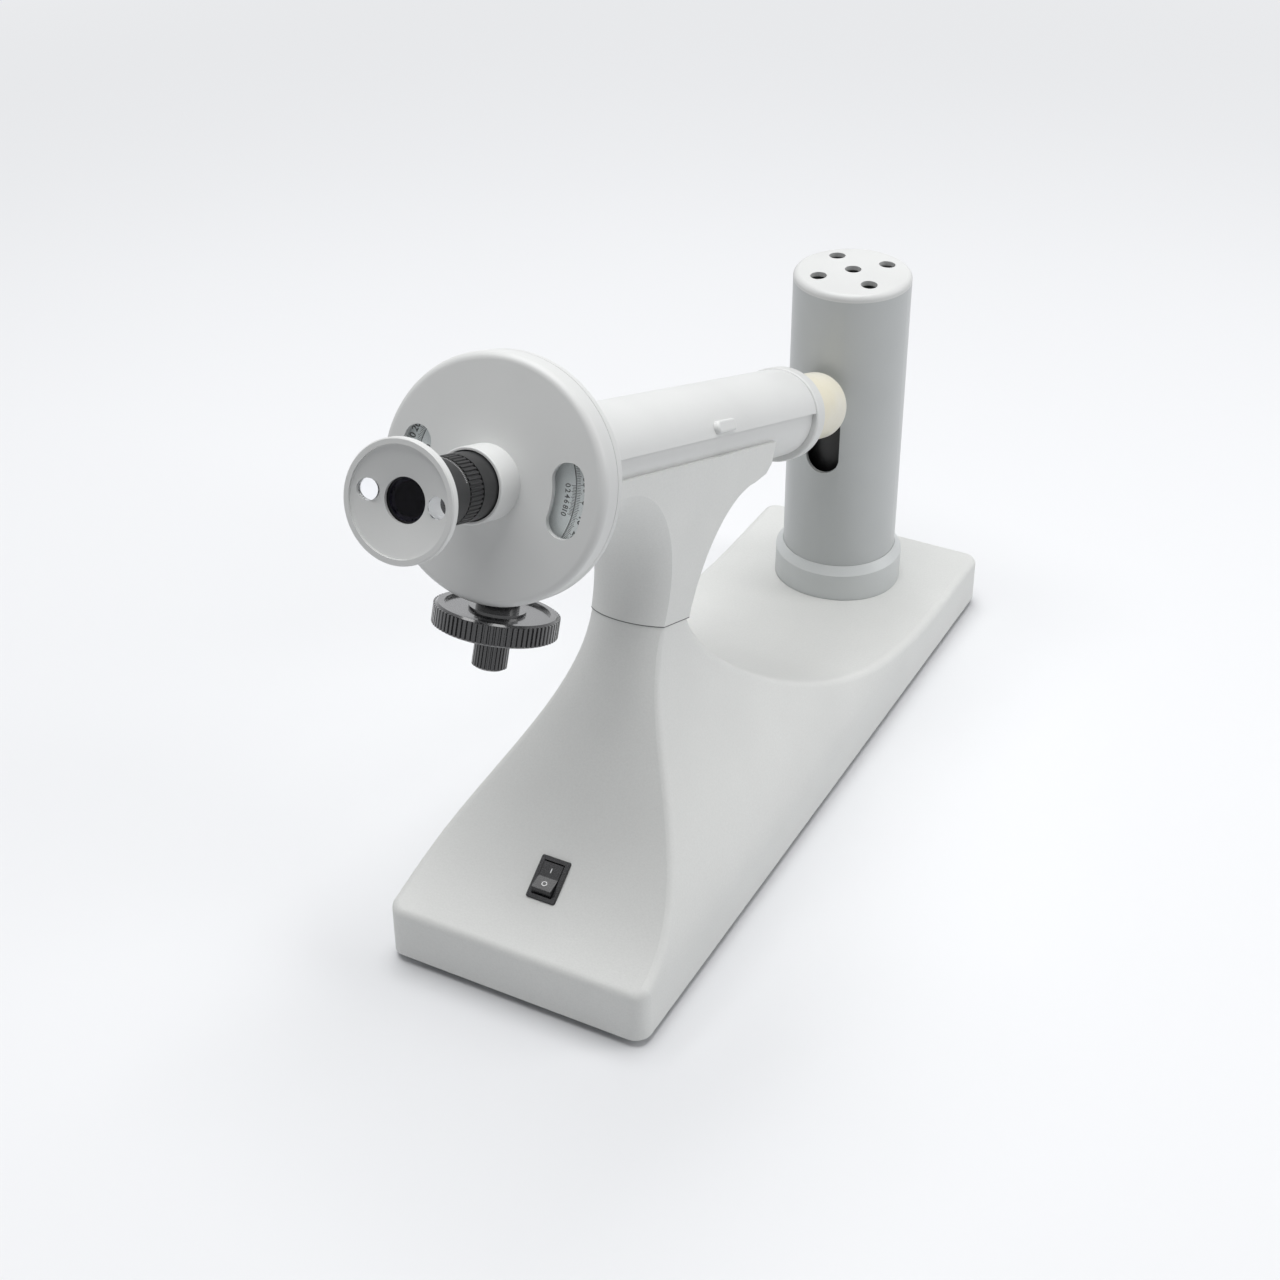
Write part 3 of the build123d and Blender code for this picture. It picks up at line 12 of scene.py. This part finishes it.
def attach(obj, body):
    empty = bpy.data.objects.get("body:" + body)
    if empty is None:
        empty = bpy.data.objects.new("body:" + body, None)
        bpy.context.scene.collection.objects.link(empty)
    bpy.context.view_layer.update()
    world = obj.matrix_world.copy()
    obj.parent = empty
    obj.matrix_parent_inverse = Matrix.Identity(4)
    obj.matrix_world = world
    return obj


bl_info = {
    "name": "Desk polarimeter",
    "version": (1, 0, 0),
    "blender": (4, 5, 0),
    "location": "View3D > Sidebar > Polarimeter",
    "description": "Finishes, graduations and studio for a desk polarimeter",
    "category": "Object",
}

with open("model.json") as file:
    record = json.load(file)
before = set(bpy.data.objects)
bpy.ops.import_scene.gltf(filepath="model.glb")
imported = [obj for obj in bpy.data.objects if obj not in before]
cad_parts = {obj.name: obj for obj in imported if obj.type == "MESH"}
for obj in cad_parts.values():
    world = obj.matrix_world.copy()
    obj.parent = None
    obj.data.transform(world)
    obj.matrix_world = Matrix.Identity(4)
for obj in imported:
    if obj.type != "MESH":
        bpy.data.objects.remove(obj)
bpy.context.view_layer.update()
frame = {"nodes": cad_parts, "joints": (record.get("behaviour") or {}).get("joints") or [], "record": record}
joints = {joint["name"]: joint for joint in frame["joints"]}
mm = 0.001

# The optical axis, its seam point and the directions across and above it.
seam_point = Vector(joints["dial_turn"]["pos_m"])
along = Vector(joints["dial_turn"]["axis"]).normalized()
across = Vector((1, 0, 0))
upward = Vector(joints["handwheel_spin"]["axis"]).normalized()


def daylight(red, green, blue):
    """A colour given by its screen levels from 0 to 255, as Blender keeps it."""
    shares = [level / 255 for level in (red, green, blue)]
    return tuple(s / 12.92 if s <= 0.04045 else ((s + 0.055) / 1.055) ** 2.4 for s in shares) + (1.0,)


def colour(name, levels, about):
    """A colour property whose default is given in screen levels."""
    return FloatVectorProperty(
        name=name, description=about, subtype="COLOR", size=4, min=0, max=1, default=daylight(*levels)
    )


def size(name, default, about):
    """A length property in metres."""
    return FloatProperty(name=name, description=about, unit="LENGTH", min=0, precision=5, default=default)


class PaintChoices(bpy.types.PropertyGroup):
    """Colours and grain of the painted and moulded parts."""

    casting: colour("Casting", (218, 219, 217), "Textured enamel of the base and the head bracket")
    head: colour("Head", (211, 212, 211), "Smooth enamel of the dial housing, lid and magnifier dish")
    column: colour("Column", (187, 190, 190), "Satin enamel of the lamp column")
    ring: colour("Ring", (205, 208, 208), "Enamel of the ring round the column's foot")
    nose: colour("Nose", (226, 223, 211), "Ivory enamel of the tube that enters the column")
    plastic: colour("Plastic", (34, 34, 36), "Moulded plastic of the handwheel and the switch")
    black: colour("Black metal", (30, 30, 31), "Anodised metal of the eyepiece")
    grain: size("Grain", 0.9 * mm, "Width of a grain of the textured enamel")
    grain_depth: size("Grain depth", 0.05 * mm, "Height of a grain of the textured enamel")


class ScaleChoices(bpy.types.PropertyGroup):
    """Sizes of the graduations and numerals."""

    dial_face: size("Dial face", 7.0 * mm, "Distance of the dial's face from the housing's seam")
    dial_edge: size("Dial edge", 36.4 * mm, "Inner radius of the dial ring")
    vernier_edge: size("Vernier edge", 36.1 * mm, "Outer radius of the vernier plates")
    line: size("Line", 0.22 * mm, "Width of a graduation line")
    relief: size("Relief", 0.03 * mm, "Height of the ink above the plate")
    dial_numeral: size("Dial numeral", 2.9 * mm, "Height of a numeral of the dial")
    vernier_numeral: size("Vernier numeral", 2.2 * mm, "Height of a numeral of a vernier")
    divisions: IntProperty(name="Divisions", description="Divisions round the dial", min=36, default=360)
    vernier_divisions: IntProperty(
        name="Vernier divisions", description="Divisions of a vernier, over one less of the dial", default=20
    )
    # The ink also paints the shadow in the gaps at the verniers' outer edges.
    ink: colour("Ink", (26, 26, 28), "Ink of the graduations")


class StudioChoices(bpy.types.PropertyGroup):
    """Floor, light and camera."""

    floor: colour("Floor", (234, 235, 237), "Pale floor")
    sky: colour("Surround", (239, 240, 242), "Pale light all round")
    sky_strength: FloatProperty(name="Surround strength", description="Light from all round", default=0.26)
    key_power: FloatProperty(name="Key lamp", description="Power of the overhead softbox", unit="POWER", default=55)
    side_power: FloatProperty(name="Side lamp", description="Power of the softbox at the side", unit="POWER", default=15)
    lens: FloatProperty(name="Lens", description="Focal length of the camera in millimetres", default=60.33)


class Value:
    """An output of a finish's nodes, with which sums and products are written."""

    def __init__(self, finish, socket):
        self.finish = finish
        self.socket = socket

    def out(self, name):
        """Another output of the same node."""
        return Value(self.finish, self.socket.node.outputs[name])

    def maths(self, operation, first, second=0.0, third=0.0):
        """One Math node."""
        return self.finish.node("ShaderNodeMath", {"operation": operation}, {0: first, 1: second, 2: third})

    def __add__(self, other):
        return self.maths("ADD", self, other)

    def __radd__(self, other):
        return self.maths("ADD", other, self)

    def __sub__(self, other):
        return self.maths("SUBTRACT", self, other)

    def __rsub__(self, other):
        return self.maths("SUBTRACT", other, self)

    def __mul__(self, other):
        return self.maths("MULTIPLY", self, other)

    def __rmul__(self, other):
        return self.maths("MULTIPLY", other, self)

    def between(self, low, high, first=0.0, last=1.0):
        """This value's range from low to high laid over first to last, and held at its ends."""
        return self.finish.node("ShaderNodeMapRange", {"clamp": True}, {0: self, 1: low, 2: high, 3: first, 4: last})


class Finish:
    """A material while its nodes are being laid."""

    def __init__(self, name, tree=None):
        if tree is None:
            self.material = bpy.data.materials.new(name)
            self.material.use_nodes = True
            tree = self.material.node_tree
        self.tree = tree
        self.tree.nodes.clear()

    def node(self, kind, settings=None, sockets=None, out=0):
        """A node with its settings, then its inputs as numbers, colours or links."""
        made = self.tree.nodes.new(kind)
        for name, setting in (settings or {}).items():
            setattr(made, name, setting)
        for name, value in (sockets or {}).items():
            if isinstance(value, Value):
                self.tree.links.new(value.socket, made.inputs[name])
            else:
                made.inputs[name].default_value = value
        return Value(self, made.outputs[out]) if made.outputs else None

    def place(self):
        """The surface's own coordinates, in metres."""
        return self.node("ShaderNodeTexCoord").out("Object")

    def noise(self, width, detail=2.0, roughness=0.5):
        """Noise whose patches are about as wide as the given length."""
        settings = {"noise_dimensions": "3D"}
        return self.node(
            "ShaderNodeTexNoise",
            settings,
            {"Vector": self.place(), "Scale": 1 / width, "Detail": detail, "Roughness": roughness},
        )

    def mixed(self, share, first, second):
        """A colour between two, by a share."""
        settings = {"data_type": "RGBA", "blend_type": "MIX"}
        return self.node("ShaderNodeMix", settings, {0: share, 6: first, 7: second}, out=2)

    def bumped(self, height, depth):
        """The normal of a surface raised by a height from 0 to 1."""
        return self.node("ShaderNodeBump", None, {"Height": height, "Distance": depth})

    def shader(self, **sockets):
        """The Principled shader; an underscore stands for a blank in a socket's name."""
        named = {name.replace("_", " "): value for name, value in sockets.items()}
        return self.node("ShaderNodeBsdfPrincipled", None, named)

    def done(self, shader):
        """Put the shader on the surface and hand over the material."""
        self.node("ShaderNodeOutputMaterial", None, {"Surface": shader})
        return self.material


def shade(tone, factor):
    """A colour made darker or lighter by a factor."""
    return tuple(min(1.0, level * factor) for level in tone[:3]) + (1.0,)


def textured_enamel(name, tone, grain, depth):
    """Fine-grained casting enamel."""
    finish = Finish(name)
    grains = finish.noise(grain, 3.0, 0.6)
    clouds = finish.noise(60 * mm)
    base = finish.mixed(clouds.between(0.3, 0.7), shade(tone, 0.97), shade(tone, 1.03))
    speckled = finish.mixed(grains.between(0.35, 0.7, 0.0, 0.35), base, shade(tone, 0.88))
    shader = finish.shader(
        Base_Color=speckled, Roughness=grains.between(0.3, 0.7, 0.5, 0.62), Normal=finish.bumped(grains, depth)
    )
    return finish.done(shader)


def smooth_enamel(name, tone, roughness, depth):
    """Sprayed enamel with a faint orange peel."""
    finish = Finish(name)
    peel = finish.noise(1.8 * mm, 1.0)
    clouds = finish.noise(45 * mm)
    base = finish.mixed(clouds.between(0.3, 0.7), shade(tone, 0.975), shade(tone, 1.025))
    shader = finish.shader(
        Base_Color=base,
        Roughness=clouds.between(0.3, 0.7, roughness - 0.04, roughness + 0.04),
        Normal=finish.bumped(peel, depth),
    )
    return finish.done(shader)


def ivory_enamel(name, tone):
    """Ivory enamel, a little warmer in wide soft patches."""
    finish = Finish(name)
    clouds = finish.noise(26 * mm, 1.0)
    streaks = finish.noise(2.5 * mm, 2.0)
    warm = (tone[0] * 0.98, tone[1] * 0.95, tone[2] * 0.86, 1.0)
    base = finish.mixed(clouds.between(0.35, 0.7), tone, warm)
    shader = finish.shader(
        Base_Color=base, Roughness=streaks.between(0.3, 0.7, 0.28, 0.42), Normal=finish.bumped(streaks, 0.05 * mm)
    )
    return finish.done(shader)


def moulded(name, tone, roughness, grain, depth, polish=0.0):
    """Moulded plastic or rubber with a fine spark-eroded grain, and a polished skin if asked."""
    finish = Finish(name)
    grains = finish.noise(grain, 2.0)
    base = finish.mixed(grains.between(0.3, 0.7), shade(tone, 0.8), shade(tone, 1.2))
    shader = finish.shader(
        Base_Color=base,
        Roughness=grains.between(0.3, 0.7, roughness - 0.06, roughness + 0.06),
        Normal=finish.bumped(grains, depth),
        Coat_Weight=polish,
        Coat_Roughness=0.12,
    )
    return finish.done(shader)


def turned_metal(name, tone, roughness, grain):
    """Machined metal with fine tool marks and dull patches."""
    finish = Finish(name)
    marks = finish.noise(grain, 4.0, 0.7)
    patches = finish.noise(8 * mm)
    base = finish.mixed(patches.between(0.35, 0.65), shade(tone, 0.92), shade(tone, 1.06))
    shader = finish.shader(
        Base_Color=base,
        Metallic=1.0,
        Roughness=marks.between(0.3, 0.7, roughness - 0.08, roughness + 0.08),
        Normal=finish.bumped(marks, 0.01 * mm),
    )
    return finish.done(shader)


def scale_plate(name, tone):
    """Silvered scale plate: satin, with a faint even grain."""
    finish = Finish(name)
    grains = finish.noise(0.35 * mm, 2.0)
    base = finish.mixed(grains.between(0.3, 0.7), shade(tone, 0.96), shade(tone, 1.04))
    shader = finish.shader(Base_Color=base, Metallic=0.25, Roughness=grains.between(0.3, 0.7, 0.36, 0.5))
    return finish.done(shader)


def clear_glass(name, tone, bending):
    """Lens glass with barely uneven polish."""
    finish = Finish(name)
    polish = finish.noise(3 * mm)
    shader = finish.shader(
        Base_Color=tone, Roughness=polish.between(0.3, 0.7, 0.0, 0.02), Transmission_Weight=1.0, IOR=bending
    )
    return finish.done(shader)


def thin_window(name, tone):
    """A thin flat pane that lets the scales behind it be read."""
    finish = Finish(name)
    polish = finish.noise(4 * mm)
    shader = finish.shader(
        Base_Color=tone, Roughness=polish.between(0.3, 0.7, 0.02, 0.06), Alpha=polish.between(0.3, 0.7, 0.04, 0.06)
    )
    return finish.done(shader)


def printed(name, tone):
    """Printing ink, a little uneven; the same flat dark also paints the shadows in narrow gaps."""
    finish = Finish(name)
    wear = finish.noise(0.6 * mm)
    base = finish.mixed(wear.between(0.3, 0.8), tone, shade(tone, 1.25))
    shader = finish.shader(Base_Color=base, Roughness=wear.between(0.3, 0.7, 0.45, 0.6))
    return finish.done(shader)


def dress(nodes, finish):
    """Give the finish to these CAD nodes."""
    for name in nodes:
        node = frame["nodes"][name]
        if not node.material_slots:
            node.data.materials.append(finish)
        for place in node.material_slots:
            place.material = finish


def nodes_in(*slots):
    """The CAD nodes of the record's material slots."""
    parts = frame["record"]["subparts"]
    return [part["node"] for part in parts if part["material_slot"] in slots]


def dial_plane(depth):
    """The place of flat work that faces the eyepiece, a distance in front of the seam."""
    turned = Matrix((across, upward, -along)).transposed().to_4x4()
    return Matrix.Translation(seam_point - along * depth) @ turned


def tick(mesh, place, angle, inner, outer, width, relief):
    """A graduation line from one radius to another, as a thin raised bar."""
    shape = Matrix.Diagonal((outer - inner, width, 2 * relief, 1))
    put = place @ Matrix.Rotation(angle, 4, "Z") @ Matrix.Translation(((inner + outer) / 2, 0, 0)) @ shape
    bmesh.ops.create_cube(mesh, size=1, matrix=put)


def lettering(mesh, text, height, relief, place):
    """Words as a flat raised mesh, centred on a place."""
    curve = bpy.data.curves.new("lettering", "FONT")
    curve.body = text
    curve.size = height / 0.7
    curve.extrude = relief
    curve.offset = 0.03 * height
    curve.resolution_u = 3
    curve.align_x = "CENTER"
    curve.align_y = "CENTER"
    words = bpy.data.objects.new("lettering", curve)
    flat = bpy.data.meshes.new_from_object(words)
    flat.transform(place)
    mesh.from_mesh(flat)
    bpy.data.meshes.remove(flat)
    bpy.data.objects.remove(words)
    bpy.data.curves.remove(curve)


def numeral(mesh, text, place, angle, radius, height, relief):
    """A numeral whose top points outwards, at an angle and radius."""
    upright = Matrix.Rotation(angle - pi / 2, 4, "Z") @ Matrix.Translation((0, radius, 0))
    lettering(mesh, text, height, relief, place @ upright)


def piece(name, mesh, body, finish):
    """A finished piece that rides on a body, with its place in its mesh."""
    bmesh.ops.remove_doubles(mesh, verts=mesh.verts, dist=0.001 * mm)
    bmesh.ops.recalc_face_normals(mesh, faces=mesh.faces)
    data = bpy.data.meshes.new(name)
    mesh.to_mesh(data)
    mesh.free()
    data.materials.append(finish)
    made = bpy.data.objects.new(name, data)
    bpy.context.scene.collection.objects.link(made)
    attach(made, body)
    return made


class PaintCastings(bpy.types.Operator):
    """Paint the base, head, column and nose"""

    bl_idname = "polarimeter.paint_castings"
    bl_label = "Paint castings"

    def execute(self, context):
        paint = context.scene.polarimeter_paint
        grain = (paint.grain, paint.grain_depth)
        dress(nodes_in("cast_paint"), textured_enamel("casting enamel", paint.casting, *grain))
        dress(nodes_in("column_paint"), smooth_enamel("column enamel", paint.column, 0.32, 0.015 * mm))
        head = smooth_enamel("head enamel", paint.head, 0.42, 0.02 * mm)
        dress([*nodes_in("head_paint"), "lamp_cover_cap"], head)
        dress(nodes_in("ring_paint"), smooth_enamel("ring enamel", paint.ring, 0.4, 0.02 * mm))
        dress(nodes_in("nose_paint"), ivory_enamel("nose enamel", paint.nose))
        return {"FINISHED"}


class FinishBlackParts(bpy.types.Operator):
    """Finish the moulded, anodised and rubber parts"""

    bl_idname = "polarimeter.finish_black_parts"
    bl_label = "Finish black parts"

    def execute(self, context):
        paint = context.scene.polarimeter_paint
        dress(nodes_in("black_plastic"), moulded("black moulding", paint.plastic, 0.26, 0.5 * mm, 0.006 * mm))
        glossy = moulded("polished moulding", paint.plastic, 0.24, 0.5 * mm, 0.004 * mm, polish=1.0)
        dress(["handwheel", "fine_knob"], glossy)
        dress(nodes_in("black_metal"), moulded("black anodising", paint.black, 0.42, 0.25 * mm, 0.01 * mm))
        dress(nodes_in("rubber"), moulded("foot rubber", shade(paint.plastic, 1.1), 0.78, 0.6 * mm, 0.03 * mm))
        return {"FINISHED"}


class FinishMetals(bpy.types.Operator):
    """Finish the steel, brass and silvered scale plates"""

    bl_idname = "polarimeter.finish_metals"
    bl_label = "Finish metals"

    def execute(self, context):
        dress(nodes_in("steel"), turned_metal("bright steel", daylight(186, 188, 190), 0.32, 0.8 * mm))
        dress(nodes_in("brass"), turned_metal("turned brass", daylight(196, 164, 92), 0.3, 0.8 * mm))
        dress(nodes_in("scale_aluminium"), scale_plate("silvered scale", daylight(212, 218, 218)))
        return {"FINISHED"}


class PolishGlass(bpy.types.Operator):
    """Polish the lenses, windows and filters"""

    bl_idname = "polarimeter.polish_glass"
    bl_label = "Polish glass"

    def execute(self, context):
        dress(nodes_in("glass"), clear_glass("lens glass", (0.97, 0.98, 1.0, 1.0), 1.5))
        dress(["eyepiece_lens", "objective_lens"], clear_glass("bloomed glass", (0.3, 0.28, 0.42, 1.0), 1.18))
        dress(["window_glasses"], thin_window("window pane", (0.92, 0.95, 0.95, 1.0)))
        dress(nodes_in("dark_filter"), moulded("filter glass", daylight(52, 44, 70), 0.14, 2 * mm, 0.0))
        return {"FINISHED"}


class DivideDial(bpy.types.Operator):
    """Divide and number the dial"""

    bl_idname = "polarimeter.divide_dial"
    bl_label = "Divide dial"

    def execute(self, context):
        scale = context.scene.polarimeter_scale
        place = dial_plane(scale.dial_face)
        mesh = bmesh.new()
        start = scale.dial_edge + 0.1 * mm
        for number in range(scale.divisions):
            reach = 2.4 if number % 10 == 0 else 2.0 if number % 5 == 0 else 1.5
            turned = -2 * pi * number / scale.divisions
            tick(mesh, place, turned, start, start + reach * mm, scale.line, scale.relief)
        for number in range(0, scale.divisions, 10):
            turned = -2 * pi * number / scale.divisions
            numeral(mesh, str(number), place, turned, 40.4 * mm, scale.dial_numeral, scale.relief)
        piece("dial_graduations", mesh, "dial", printed("dial ink", scale.ink))
        return {"FINISHED"}


class DivideVerniers(bpy.types.Operator):
    """Divide and number both verniers, and paint the shadow in the gap along their outer edges"""

    bl_idname = "polarimeter.divide_verniers"
    bl_label = "Divide verniers"

    def execute(self, context):
        scale = context.scene.polarimeter_scale
        place = dial_plane(scale.dial_face)
        mesh = bmesh.new()
        end = scale.vernier_edge - 0.1 * mm
        count = scale.vernier_divisions
        step = 2 * pi / scale.divisions * (count - 1) / count
        for side in (0.0, pi):
            for number in range(count + 1):
                turned = side + step * (count / 2 - number)
                reach = 2.0 if number % 4 == 0 else 1.5
                tick(mesh, place, turned, end - reach * mm, end, scale.line, scale.relief)
                if number % 4 == 0:
                    text = str(number // 2)
                    numeral(mesh, text, place, turned, 32.3 * mm, scale.vernier_numeral, scale.relief)
            # A dark ink arc along each plate's outer edge paints the shadow in the gap between vernier and dial.
            arc_line(mesh, place, side - radians(31), radians(62), end - 0.15 * mm, end + 0.1 * mm, scale.relief)
        piece("vernier_graduations_and_gap_shadow", mesh, "root", printed("vernier ink and gap shadow", scale.ink))
        return {"FINISHED"}


def arc_line(mesh, place, start, sweep, inner, outer, relief):
    """A raised line along an arc, spun from one thin block; it paints the shadow in a narrow gap."""
    shape = Matrix.Diagonal((outer - inner, 0.01 * mm, 2 * relief, 1))
    put = place @ Matrix.Rotation(start, 4, "Z") @ Matrix.Translation(((inner + outer) / 2, 0, 0)) @ shape
    block = bmesh.ops.create_cube(mesh, size=1, matrix=put)
    near = sorted(block["verts"][0].link_faces, key=lambda face: face.calc_area())[-1]
    cap = [near, *near.edges, *near.verts]
    bmesh.ops.spin(
        mesh,
        geom=cap,
        cent=place.translation,
        axis=place.to_3x3() @ Vector((0, 0, 1)),
        angle=sweep,
        steps=40,
        use_merge=False,
    )


class DrawSeams(bpy.types.Operator):
    """Paint the shadow in the narrow gap between the casting and the head bracket"""

    bl_idname = "polarimeter.draw_seams"
    bl_label = "Paint seam shadow"

    def execute(self, context):
        drop, width, proud = 82.8 * mm, 0.45 * mm, 0.05 * mm
        mesh = bmesh.new()
        mesh.from_mesh(frame["nodes"]["head_bracket"].data)
        bmesh.ops.remove_doubles(mesh, verts=mesh.verts, dist=0.002 * mm)
        for depth, normal in ((drop, -upward), (drop - width, upward)):
            geometry = [*mesh.verts, *mesh.edges, *mesh.faces]
            point = seam_point - upward * depth
            bmesh.ops.bisect_plane(mesh, geom=geometry, plane_co=point, plane_no=normal, clear_outer=True)
        mesh.normal_update()
        for vertex in mesh.verts:
            vertex.co += vertex.normal * proud
        # A dark ribbon round the neck paints the shadow in the joint's narrow gap.
        piece("neck_seam_shadow", mesh, "root", printed("seam shadow", daylight(96, 98, 98)))
        return {"FINISHED"}


class MarkSwitch(bpy.types.Operator):
    """Mark the rocker with its line and circle"""

    bl_idname = "polarimeter.mark_switch"
    bl_label = "Mark switch"

    def execute(self, context):
        pivot = Vector(joints["rocker_tilt"]["pos_m"])
        slope, tilt = radians(35.5), radians(12)
        valley = 2.6 * mm
        relief = 0.04 * mm
        face = Matrix.Translation(pivot) @ Matrix.Rotation(slope, 4, "X")
        dip = face @ Matrix.Translation((0, valley * sin(tilt), valley * cos(tilt)))
        mesh = bmesh.new()
        line = Matrix.Translation((0, 3.5 * mm, 0)) @ Matrix.Diagonal((0.45 * mm, 2.3 * mm, 2 * relief, 1))
        bmesh.ops.create_cube(mesh, size=1, matrix=dip @ line)
        raised = dip @ Matrix.Rotation(-2 * tilt, 4, "X") @ Matrix.Translation((0, -3.7 * mm, 0))
        ring = bmesh.new()
        bmesh.ops.create_circle(ring, segments=40, radius=1.35 * mm, cap_ends=True)
        bmesh.ops.inset_region(ring, faces=ring.faces[:], thickness=0.4 * mm, use_boundary=True)
        middle = min(ring.faces, key=lambda face: face.calc_center_median().length)
        bmesh.ops.delete(ring, geom=[middle], context="FACES_ONLY")
        rise = bmesh.ops.extrude_face_region(ring, geom=ring.faces[:])
        lifted = [item for item in rise["geom"] if isinstance(item, bmesh.types.BMVert)]
        bmesh.ops.translate(ring, verts=lifted, vec=(0, 0, relief))
        bmesh.ops.transform(ring, verts=ring.verts, matrix=raised)
        circle = bpy.data.meshes.new("circle")
        ring.to_mesh(circle)
        ring.free()
        mesh.from_mesh(circle)
        bpy.data.meshes.remove(circle)
        piece("switch_marks", mesh, "rocker", printed("white ink", daylight(225, 226, 226)))
        return {"FINISHED"}


class MarkFocusRing(bpy.types.Operator):
    """Engrave the row of fine white lines on the focus ring"""

    bl_idname = "polarimeter.mark_focus_ring"
    bl_label = "Mark focus ring"

    def execute(self, context):
        radius, width, length = 13.5 * mm, 0.18 * mm, 0.7 * mm
        place = dial_plane(49.6 * mm)
        mesh = bmesh.new()
        for number in range(25):
            turned = Matrix.Rotation(radians(30 + 2.8 * number), 4, "Z") @ Matrix.Translation((radius, 0, 0))
            shape = Matrix.Diagonal((0.06 * mm, width, length, 1))
            bmesh.ops.create_cube(mesh, size=1, matrix=place @ turned @ shape)
        piece("focus_marks", mesh, "focus", printed("white engraving", daylight(205, 205, 205)))
        return {"FINISHED"}


def softbox(name, place, aim, width, power):
    """A square area lamp aimed at a point."""
    lamp = bpy.data.lights.new(name, "AREA")
    lamp.shape = "SQUARE"
    lamp.size = width
    lamp.energy = power
    made = bpy.data.objects.new(name, lamp)
    made.location = place
    made.rotation_euler = (Vector(place) - Vector(aim)).to_track_quat("Z", "Y").to_euler()
    bpy.context.scene.collection.objects.link(made)


def room_glow(finish, strength):
    """Full brightness for the camera, lenses and gloss, and the given strength for lighting."""
    ray = finish.node("ShaderNodeLightPath")
    seen = ray.out("Is Camera Ray") + ray.out("Is Glossy Ray") + ray.out("Is Transmission Ray")
    return seen.between(0, 1, strength, 1.0)


def pale_surround(tone, strength):
    """A world that lights softly, and that lenses, gloss and the camera see as a pale room."""
    world = bpy.data.worlds.new("studio")
    world.use_nodes = True
    room = Finish("room", world.node_tree)
    light = room.node("ShaderNodeBackground", None, {"Color": tone, "Strength": room_glow(room, strength)})
    room.node("ShaderNodeOutputWorld", None, {"Surface": light})
    return world


class SetStage(bpy.types.Operator):
    """Lay the floor and set the lamps and the camera"""

    bl_idname = "polarimeter.set_stage"
    bl_label = "Set stage"

    def execute(self, context):
        studio = context.scene.polarimeter_studio
        floor = Finish("studio floor")
        paper = floor.noise(0.5)
        tone = floor.mixed(paper.between(0.3, 0.7), shade(studio.floor, 0.99), studio.floor)
        cloth = floor.node("ShaderNodeBsdfDiffuse", None, {"Color": tone})
        glow = room_glow(floor, studio.sky_strength)
        haze = floor.node("ShaderNodeEmission", None, {"Color": studio.sky, "Strength": glow})
        reach = floor.node("ShaderNodeVectorMath", {"operation": "LENGTH"}, {0: floor.place()}, out=1)
        sweep = floor.node("ShaderNodeMixShader", None, {0: reach.between(0.75, 1.7), 1: cloth, 2: haze})
        mesh = bmesh.new()
        bmesh.ops.create_grid(mesh, x_segments=1, y_segments=1, size=8)
        data = bpy.data.meshes.new("studio_floor")
        mesh.to_mesh(data)
        mesh.free()
        data.materials.append(floor.done(sweep))
        ground = bpy.data.objects.new("studio_floor", data)
        context.scene.collection.objects.link(ground)

        context.scene.world = pale_surround(studio.sky, studio.sky_strength)

        softbox("overhead", (-0.2, 0.05, 2.3), (0, 0, 0.1), 2.0, studio.key_power)
        softbox("side", (2.0, 0.9, 1.1), (0, 0, 0.15), 1.2, studio.side_power)

        camera = bpy.data.cameras.new("camera")
        camera.lens = studio.lens
        camera.shift_x, camera.shift_y = 0.0016, -0.028
        camera.clip_start, camera.clip_end = 0.01, 50
        viewer = bpy.data.objects.new("camera", camera)
        turned = Matrix.Rotation(radians(28.12), 4, "Z") @ Matrix.Rotation(radians(90 - 33.0), 4, "X")
        levelled = Matrix.Rotation(radians(-0.33), 4, "Z")
        viewer.matrix_world = Matrix.Translation((0.3932, -0.7890, 0.6888)) @ turned @ levelled
        context.scene.collection.objects.link(viewer)
        context.scene.camera = viewer
        context.scene.view_settings.view_transform = "Standard"
        return {"FINISHED"}


steps = (
    PaintCastings,
    FinishBlackParts,
    FinishMetals,
    PolishGlass,
    DivideDial,
    DivideVerniers,
    DrawSeams,
    MarkSwitch,
    MarkFocusRing,
    SetStage,
)


class PolarimeterPanel(bpy.types.Panel):
    """The steps and choices of the polarimeter"""

    bl_idname = "VIEW3D_PT_polarimeter"
    bl_label = "Polarimeter"
    bl_space_type = "VIEW_3D"
    bl_region_type = "UI"
    bl_category = "Polarimeter"

    def draw(self, context):
        for step in steps:
            self.layout.operator(step.bl_idname)
        for group in (context.scene.polarimeter_paint, context.scene.polarimeter_scale, context.scene.polarimeter_studio):
            box = self.layout.box()
            for name in group.__annotations__:
                box.prop(group, name)


classes = (PaintChoices, ScaleChoices, StudioChoices, *steps, PolarimeterPanel)


def register():
    """Register the classes and hang the choices on the scene."""
    for made in classes:
        bpy.utils.register_class(made)
    bpy.types.Scene.polarimeter_paint = PointerProperty(type=PaintChoices)
    bpy.types.Scene.polarimeter_scale = PointerProperty(type=ScaleChoices)
    bpy.types.Scene.polarimeter_studio = PointerProperty(type=StudioChoices)


def unregister():
    """Take the choices and classes away again."""
    del bpy.types.Scene.polarimeter_studio
    del bpy.types.Scene.polarimeter_scale
    del bpy.types.Scene.polarimeter_paint
    for made in reversed(classes):
        bpy.utils.unregister_class(made)


def main():
    """Register and run each step in order."""
    register()
    for step in steps:
        group, name = step.bl_idname.split(".")
        getattr(getattr(bpy.ops, group), name)()


if __name__ == "__main__":
    main()
